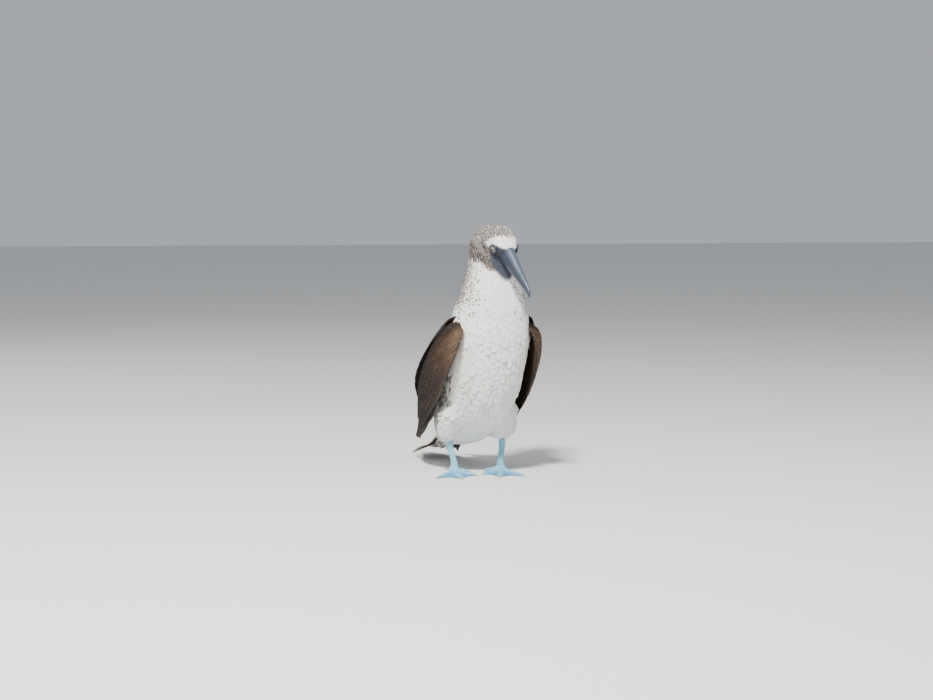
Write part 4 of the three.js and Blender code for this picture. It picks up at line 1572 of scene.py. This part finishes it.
@dataclass
class Bill:
    """The two mandibles, with the side groove, a darker tip and a painted highlight along the culmen, lapped
    where they meet.

    A row is along, the outer edge's up, the mouth's up and the half width. An outline runs from the
    mouth's corner to the outer edge, as parts of the half width and of the height.
    """

    lap: float = 0.4
    mouth_part: float = 0.02
    slices: int = 60
    around: int = 44
    groove: float = 0.44
    groove_half: float = 0.06
    upper: tuple[tuple[float, ...], ...] = (
        (-5, -1, -23.5, 13.5),
        (0, 0, -20.5, 13),
        (20, 0.4, -17, 11),
        (42, 0.3, -13.5, 8.8),
        (64, 0.9, -10, 6.7),
        (82, 1.2, -7.4, 4.7),
        (93, -0.6, -6.6, 3),
        (99, -3.6, -7.6, 1.6),
        (102, -7.2, -9, 0.5),
    )
    lower: tuple[tuple[float, ...], ...] = (
        (-5, -36, -24, 12.6),
        (0, -33, -21, 12.2),
        (22, -28, -17.2, 10),
        (46, -21.8, -13.4, 7.4),
        (68, -15.8, -9.8, 5),
        (86, -10.6, -7.3, 2.8),
        (95, -8.2, -7.2, 0.8),
    )
    upper_outline: tuple[tuple[float, float], ...] = (
        (1, 0), (0.99, 0.22), (0.9, 0.4), (0.89, 0.5), (0.76, 0.7), (0.45, 0.92), (0.15, 1),
    )
    lower_outline: tuple[tuple[float, float], ...] = (
        (1, 0), (0.97, 0.3), (0.8, 0.62), (0.5, 0.88), (0.18, 1),
    )

    def _colour(self, h: Array, along: float, upper: bool) -> Array:
        """A ring's colours: a painted highlight along the culmen, dark at the mouth, the groove, the tip and
        the root.
        """
        # painted highlight: the top of the upper mandible is painted paler, as where light falls on it; the
        # lower mandible's outer edge is painted a little paler too
        ridge_highlight = ramp(h, 0.45, 1.0) * (0.9 if upper else 0.2)
        colour = blend(Hue.SLATE.colour, Hue.SLATE_HIGHLIGHT.colour, ridge_highlight)
        colour = blend(colour, Hue.SLATE_DARK.colour, (1 - ramp(h, 0.0, 0.3)) * 0.7)
        tip = step(min(1.0, max(0.0, along / BODY.head.bill_length)), 0.68, 1.0)
        colour = blend(colour, Hue.SLATE_DARK.colour * 1.6, 0.75 * tip)
        groove = np.exp(-(((h - self.groove) / self.groove_half) ** 2)) * (0.6 if upper else 0)
        return blend(colour, Hue.SLATE_DARK.colour, groove) * (0.75 + 0.25 * step(along, -2, 12))

    def mandible(self, rows: Sequence, outline: Sequence, upper: bool) -> Piece:
        """One mandible's mesh.

        Args:
            rows: Its slices.
            outline: Its right half's outline.
            upper: Whether it is the upper one.

        Returns:
            The mesh in the making.
        """
        knots = [*outline, *[(-w, h) for w, h in reversed(outline)]]
        w, h = read_rows(knots, np.linspace(0, len(knots) - 1, self.around)).T
        h = np.clip(h, 0, 1.01)
        lift = (-self.lap if upper else self.lap) * (h < self.mouth_part)
        rings, paints = [], []
        for t in np.linspace(0, len(rows) - 1, self.slices):
            along, edge, mouth, half = read_rows(rows, t)
            rings.append(BODY.head.point(along, mouth + (edge - mouth) * h + lift, half * w))
            paints.append(self._colour(h, float(along), upper))
        piece = Piece()
        piece.add_loft(np.stack(rings), np.stack(paints), True)
        return piece

    def build(self, finish: bpy.types.Material) -> None:
        """Makes both mandibles."""
        upper = self.mandible(self.upper, self.upper_outline, True).make("beak_upper", finish)
        dress(upper, "bill_slate", "bill_upper")
        lower = self.mandible(self.lower, self.lower_outline, False).make("beak_lower", finish)
        dress(lower, "bill_slate", "bill_lower")


@dataclass
class Eyes:
    """The eyeballs, with pupil and pale iris, and the raised ring of bare lid skin round each."""

    gaze: float = 0.5
    net: tuple[int, int] = (40, 40)
    bulge: float = 0.015
    bulge_degrees: float = 30
    pupil_degrees: Span = (27, 30)
    iris_shade_degrees: Span = (44, 52)
    rim_degrees: Span = (52, 57)
    lid_net: tuple[int, int] = (64, 16)
    lid_forward: float = 0.35
    lid_ring: float = 6.2
    lid_tube: float = 1.9
    lid_out: float = 3.6
    lid_folds: int = 17

    def outward(self, sign: int, forward: float) -> Array:
        """The direction between straight out and along the bill."""
        along, _, side = BODY.head.axes
        return unit(side * sign + along * forward)

    def ball(self, sign: int) -> Piece:
        """One eyeball, its cornea raised a little over the iris."""
        axis = self.outward(sign, self.gaze)
        right = unit(np.cross(axis, BODY.head.axes[1]))
        up = np.cross(right, axis)
        slices, count = self.net
        around = turns(count)
        spokes = np.cos(around)[:, None] * right + np.sin(around)[:, None] * up
        rings, paints = [], []
        for degrees in np.linspace(1.5, 178.5, slices):
            angle = math.radians(degrees)
            swell = 1 - self.bulge + self.bulge * math.exp(-((degrees / self.bulge_degrees) ** 2))
            ring = np.cos(angle) * axis + np.sin(angle) * spokes
            rings.append(BODY.head.eye_centre(sign) + BODY.head.eye_radius * swell * ring)
            colour = blend(Hue.PUPIL.colour, Hue.IRIS.colour, step(degrees, *self.pupil_degrees))
            colour = blend(colour, Hue.IRIS.colour * 0.55, step(degrees, *self.iris_shade_degrees) * 0.6)
            colour = blend(colour, Hue.SLATE_DARK.colour, step(degrees, *self.rim_degrees))
            paints.append(np.broadcast_to(colour, (count, 3)))
        piece = Piece()
        piece.add_loft(np.stack(rings), np.stack(paints), True)
        return piece

    def lid(self, piece: Piece, sign: int) -> None:
        """Adds one lid ring, thicker above the eye and finely folded."""
        axis = self.outward(sign, self.lid_forward)
        along, up, _ = BODY.head.axes
        right = unit(along - dot(along, axis) * axis)
        rise = np.cross(axis, right) * (1 if np.dot(np.cross(axis, right), up) > 0 else -1)
        m, n = self.lid_net
        around = turns(n)[:, None]
        rings = []
        for a in turns(m):
            spoke = math.cos(a) * right + math.sin(a) * rise
            tube = self.lid_tube * (1 + 0.07 * math.sin(a * self.lid_folds) + 0.1 * math.sin(a))
            ring = self.lid_ring * (1 - 0.08 * abs(math.sin(a)))
            point = BODY.head.eye_centre(sign) + axis * self.lid_out + spoke * ring
            rings.append(point + tube * (np.cos(around) * spoke * 1.25 + np.sin(around) * axis * 0.9))
        faces = [(j * n + i, j * n + (i + 1) % n, (j + 1) % m * n + (i + 1) % n, (j + 1) % m * n + i)
                 for j in range(m) for i in range(n)]
        points, faces = solid(faces, np.stack(rings))
        piece.add(points, faces, Hue.SLATE_DARK.colour * 1.5)

    def build(self, wet: bpy.types.Material, skin: bpy.types.Material) -> None:
        """Makes both eyes and their lids."""
        lids = Piece()
        for side, sign in SIDES:
            dress(self.ball(sign).make(f"eyeball_{side}", wet), "eye_yellow", f"eye_{side}")
            self.lid(lids, sign)
        dress(lids.make("eyelids", skin), "bill_slate")


@dataclass
class Foot:
    """A bare leg and webbed foot with its scutes and claws.

    A toe is its turn in degrees, its length, its claw's length and its half width.
    """

    side: str
    sign: int
    voxel_m: float = 0.0008
    weld_m: float = 1e-6
    turn: dict[int, float] = field(default_factory=lambda: {RIGHT: 11, LEFT: -22})
    toes: tuple[tuple[float, ...], ...] = (
        (-80, 25, 8, 3), (-31, 57, 9, 3.7), (0, 80, 11, 4.2), (31, 78, 9, 4),
    )
    claw_net: tuple[int, int] = (10, 14)
    claw_high: float = 3.3
    claw_clear: float = 0.65
    rounds: tuple[tuple[str, int], ...] = (("foot", 3), ("tarsus", 6))

    def on_foot(self, turn: Any, reach: Any, z: Any, aside: Any = 0) -> Array:
        """Places at a reach from the ankle along a turned line, and aside from it."""
        angle = np.radians(self.turn[self.sign] + turn)
        x, ahead = self.sign * BODY.ankle_x, self.sign * BODY.ankle_turn
        fx, fa = self.sign * np.sin(angle), np.cos(angle)
        return at(x + fx * reach + fa * aside, ahead + fa * reach - fx * aside, z)

    def refined(self, node: str, title: str, finish: bpy.types.Material, rounds: int) -> bpy.types.Object:
        """A finely meshed, faired copy of a solid.

        Args:
            node: The solid's name.
            title: The copy's name.
            finish: Its finish.
            rounds: How often it is smoothed.

        Returns:
            The copy.
        """
        bm = bmesh.new()
        bm.from_mesh(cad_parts[node].data)
        bmesh.ops.remove_doubles(bm, verts=bm.verts, dist=self.weld_m)
        mesh = bpy.data.meshes.new(title)
        bm.to_mesh(mesh)
        bm.free()
        made = new_object(title, mesh)
        fair(made, self.voxel_m, rounds)
        made.data.materials.clear()
        made.data.materials.append(finish)
        return made

    def paint(self, made: bpy.types.Object) -> None:
        """Colours webs deep blue, toes and leg paler, and paints shade where the foot meets the floor."""
        p = read_points(made.data)
        x, ahead = p[:, 0] - self.sign * BODY.ankle_x, -p[:, 1] - self.sign * BODY.ankle_turn
        reach = np.hypot(x, ahead)
        turn = np.degrees(np.arctan2(self.sign * x, ahead)) - self.turn[self.sign]
        toes = [np.abs(np.sin(np.radians(turn - toe[0]))) * reach - toe[3] * 0.9 for toe in self.toes]
        web = ramp(np.min(toes, axis=0), 0.0, 4.0) * ramp(reach, 9, 20)
        colour = blend(Hue.LEG_BLUE.colour, Hue.WEB_BLUE.colour, 0.25 * ramp(reach, 4, 30) + 0.75 * web)
        colour = blend(colour, Hue.LEG_BLUE.colour * 1.05, ramp(p[:, 2], 9, 20))
        # painted shade: the foot's lowest millimetre, where it meets the floor, is painted a darker blue
        colour = blend(colour, Hue.WEB_BLUE.colour * 0.5, 0.5 * ramp(-p[:, 2], -1.2, -0.3))
        paint_mesh(made.data, colour)

    def claws(self, finish: bpy.types.Material) -> None:
        """Makes the four curved claws as one piece."""
        piece = Piece()
        slices, count = self.claw_net
        around = turns(count)
        for turn, length, reach, half in self.toes:
            rings = []
            for f in np.linspace(0, 1, slices):
                wide, high = half * 0.6 * (1 - 0.86 * f), self.claw_high * (1 - 0.84 * f)
                z = self.claw_clear + high / 2 + high / 2 * np.sin(around) + 0.6 * math.sin(math.pi * f)
                rings.append(self.on_foot(turn, length - 1.2 + (reach + 1.3) * f, z, wide * np.cos(around)))
            piece.add_loft(np.stack(rings), Hue.CLAW.colour, True)
        nodes = [f"claw_{toe}_{self.side}" for toe in TOE_NAMES]
        dress(piece.make(f"claws_{self.side}", finish), "claw_grey", *nodes)

    def build(self, skin: bpy.types.Material, horn: bpy.types.Material, scutes: "Scutes") -> None:
        """Makes the leg, foot, scutes and claws."""
        for part, rounds in self.rounds:
            made = self.refined(f"{part}_{self.side}", f"{part}_skin_{self.side}", skin, rounds)
            self.paint(made)
            dress(made, "foot_blue", f"{part}_{self.side}")
        self.claws(horn)
        dress(scutes.build(self), "foot_blue")


@dataclass
class Scutes:
    """Overlapping plates along the toes and down the front of the leg, set by Geometry Nodes."""

    finish: bpy.types.Material
    length_m: float = 0.0021
    thin: float = 0.42
    plates: int = 22
    shin_plates: int = 17
    shin_half: float = 3.4
    sunk: float = 0.75

    def tree(self) -> bpy.types.NodeTree:
        """The node tree: a plate on each point of a line, as wide as the point says and Plate Length long."""
        tree = bpy.data.node_groups.new("scute_rows", "GeometryNodeTree")
        face = tree.interface
        face.new_socket("Geometry", in_out="INPUT", socket_type="NodeSocketGeometry")
        face.new_socket("Plate Length", in_out="INPUT", socket_type="NodeSocketFloat")
        face.new_socket("Geometry", in_out="OUTPUT", socket_type="NodeSocketGeometry")

        def add(kind: str, settings: dict | None = None, inputs: dict | None = None) -> bpy.types.Node:
            """A node with its settings and inputs; an input that is a socket is linked."""
            made = tree.nodes.new(kind)
            for key, value in (settings or {}).items():
                setattr(made, key, value)
            for key, value in (inputs or {}).items():
                if isinstance(value, bpy.types.NodeSocket):
                    tree.links.new(value, made.inputs[key])
                else:
                    made.inputs[key].default_value = value
            return made

        def read(title: str, kind: str) -> bpy.types.NodeSocket:
            """What each point carries under a title."""
            named = add("GeometryNodeInputNamedAttribute", {"data_type": kind}, {"Name": title})
            return named.outputs["Attribute"]

        start = add("NodeGroupInput").outputs
        plate = add("GeometryNodeMeshUVSphere", {}, {"Segments": 12, "Rings": 6, "Radius": 1.0})
        high = add("ShaderNodeMath", {"operation": "MULTIPLY"}, {0: start["Plate Length"], 1: self.thin})
        scale = add("ShaderNodeCombineXYZ", {}, {
            "X": read("wide", "FLOAT"), "Y": start["Plate Length"], "Z": high.outputs[0]})
        along = add("FunctionNodeAlignRotationToVector", {"axis": "Y"}, {
            "Vector": read("heading", "FLOAT_VECTOR")})
        facing = add("FunctionNodeAlignRotationToVector", {"axis": "Z", "pivot_axis": "Y"}, {
            "Rotation": along.outputs["Rotation"], "Vector": read("facing", "FLOAT_VECTOR")})
        placed = add("GeometryNodeInstanceOnPoints", {}, {
            "Points": start["Geometry"], "Instance": plate.outputs["Mesh"],
            "Rotation": facing.outputs["Rotation"], "Scale": scale.outputs["Vector"]})
        real = add("GeometryNodeRealizeInstances", {}, {"Geometry": placed.outputs["Instances"]})
        dressed = add("GeometryNodeSetMaterial", {}, {
            "Geometry": real.outputs["Geometry"], "Material": self.finish})
        add("NodeGroupOutput", {}, {"Geometry": dressed.outputs["Geometry"]})
        return tree

    def lines(self, foot: Foot) -> tuple[Array, ...]:
        """The plates' middles, headings, facings and half widths on one foot."""
        plates = []
        for turn, length, _, half in foot.toes:
            for f in np.linspace(0.12, 0.97, max(6, int(self.plates * length / 80))):
                reach = length * f
                knuckle = 1 + 0.1 * math.cos(f * 6 * math.pi)
                high = (5.6 + 5.5 * math.exp(-reach / 20)) * (1 - 0.25 * f) * (0.96 + 0.04 * knuckle)
                ahead = foot.on_foot(turn, reach + 1, 0.0) - foot.on_foot(turn, reach, 0.0)
                wide = half * (1.25 - 0.5 * f) * knuckle * 0.62
                plates.append((foot.on_foot(turn, reach, high - self.sunk), ahead, at(0, 0, 1), wide))
        sign = foot.sign
        x0, a0 = sign * BODY.ankle_x, sign * BODY.ankle_turn
        heel_x, heel_a, _ = BODY.heel
        shin = [
            [sign * heel_x, heel_a, 56.7, 8],
            [sign * (heel_x - 1.5), heel_a + 1, 48, 7.2],
            [(sign * heel_x + x0) / 2, (heel_a + a0) / 2, 34, 6.4],
            [x0, a0 - 1, 20, 6.6],
            [x0, a0, 12.3, 7.6],
        ]
        for t in np.linspace(0.25, 3.9, self.shin_plates):
            x, ahead, z, deep = read_rows(shin, t)
            plates.append((at(x, ahead + deep - self.sunk, z), at(0, 0, -1), at(0, 1, 0), self.shin_half))
        return tuple(np.stack([np.asarray(v, float) for v in group]) for group in zip(*plates))

    def build(self, foot: Foot) -> bpy.types.Object:
        """Makes one foot's plates as a plain mesh."""
        middles, headings, facings, widths = self.lines(foot)
        mesh = bpy.data.meshes.new(f"scutes_{foot.side}")
        mesh.from_pydata([tuple(p) for p in BODY.place(middles)], [], [])
        for title, values in (("heading", headings), ("facing", facings)):
            layer = mesh.attributes.new(title, "FLOAT_VECTOR", "POINT")
            layer.data.foreach_set("vector", values.astype(np.float32).ravel())
        layer = mesh.attributes.new("wide", "FLOAT", "POINT")
        layer.data.foreach_set("value", (widths * MM).astype(np.float32))
        made = new_object(mesh.name, mesh)
        rows = made.modifiers.new("Scutes", "NODES")
        rows.node_group = self.tree()
        for socket in rows.node_group.interface.items_tree:
            if socket.name == "Plate Length":
                rows[socket.identifier] = self.length_m
        flatten(made)
        foot.paint(made)
        return made


@dataclass(frozen=True)
class Light:
    """One soft square light that faces the bird."""

    name: str
    place_m: tuple[float, float, float]
    size_m: float
    watts: float
    colour: tuple[float, float, float]
    aim_m: tuple[float, float, float] = (0, 0, 0.22)

    def build(self) -> None:
        """Adds the light."""
        data = bpy.data.lights.new(self.name, "AREA")
        data.size = self.size_m
        data.energy = self.watts
        data.color = self.colour
        made = new_object(self.name, data)
        made.location = self.place_m
        made.rotation_euler = (Vector(self.aim_m) - made.location).to_track_quat("-Z", "Y").to_euler()


@dataclass(frozen=True)
class Studio:
    """The camera at the photograph's viewing angle, the soft lights and the plain floor."""

    azimuth: float = -21
    distance: float = 3130
    camera_z: float = 439
    aim_u: float = -19.25
    aim_z: float = 215
    lens: float = 69.07
    sensor: float = 36
    clip_end_m: float = 100
    floor_half_m: float = 30
    sky: tuple[float, float, float] = (0.82, 0.86, 0.92)
    sky_strength: float = 0.55
    lights: tuple[Light, ...] = (
        Light("key", (-1.3, -1.9, 2.9), 0.5, 300, (1.0, 0.97, 0.92)),
        Light("fill", (2.6, -2.4, 1.5), 2.2, 22, (0.9, 0.95, 1.0)),
        Light("rim", (-1.6, 2.6, 2.4), 1.4, 26, (1.0, 1.0, 1.0)),
    )

    def camera(self) -> None:
        """Sets the scene's camera."""
        turn = math.radians(self.azimuth)
        toward = at(math.sin(turn), math.cos(turn), 0)
        right = at(math.cos(turn), -math.sin(turn), 0)
        data = bpy.data.cameras.new("camera")
        data.lens = self.lens
        data.sensor_width = self.sensor
        data.clip_end = self.clip_end_m
        made = new_object("camera", data)
        where = Vector(BODY.place(toward * self.distance + at(0, 0, self.camera_z)))
        goal = Vector(BODY.place(right * self.aim_u + at(0, 0, self.aim_z)))
        made.location = where
        made.rotation_euler = (goal - where).to_track_quat("-Z", "Y").to_euler()
        bpy.context.scene.camera = made

    def build(self) -> None:
        """Makes camera, lights, floor and surroundings."""
        self.camera()
        for light in self.lights:
            light.build()
        world = bpy.data.worlds.new("studio")
        world.use_nodes = True
        sky = world.node_tree.nodes["Background"].inputs
        sky["Color"].default_value = rgb(*self.sky)
        sky["Strength"].default_value = self.sky_strength
        bpy.context.scene.world = world
        mesh = bpy.data.meshes.new("floor")
        h = self.floor_half_m
        mesh.from_pydata([(-h, -h, 0), (h, -h, 0), (h, h, 0), (-h, h, 0)], [], [(0, 1, 2, 3)])
        mesh.materials.append(FloorFinish().build())
        new_object("floor", mesh)


def main() -> None:
    """Builds the bird piece by piece and notes its size."""
    logging.basicConfig(level=logging.INFO, format="%(message)s")
    plumage = PlumageFinish("plumage").build()
    dark_plumage = PlumageFinish("flight_feathers", roughness=0.78, sheen=0.0, mottle=0.2, shine=0.12).build()
    bare = BareSkinFinish("bare_face").build()
    feet = BareSkinFinish("blue_feet", 620, 0.0005, 0.42, 0.18).build()
    horn = HornFinish("slate_horn").build()
    Studio().build()
    skin = Skin(bare)
    dress(skin.object, "plumage_white", "torso", "neck", "head", "thigh_right", "thigh_left")
    Coat(skin, plumage).build()
    for side, sign in SIDES:
        wing = Wing(sign)
        wing.build(side, dark_plumage)
        Scapulars(wing, skin).build(side, dark_plumage)
    Tail().build(dark_plumage)
    Bill().build(horn)
    Eyes().build(EyeFinish().build(), bare)
    scutes = Scutes(feet)
    for side, sign in SIDES:
        Foot(side, sign).build(feet, HornFinish(f"claw_horn_{side}", 0.3).build(), scutes)


if __name__ == "__main__":
    main()
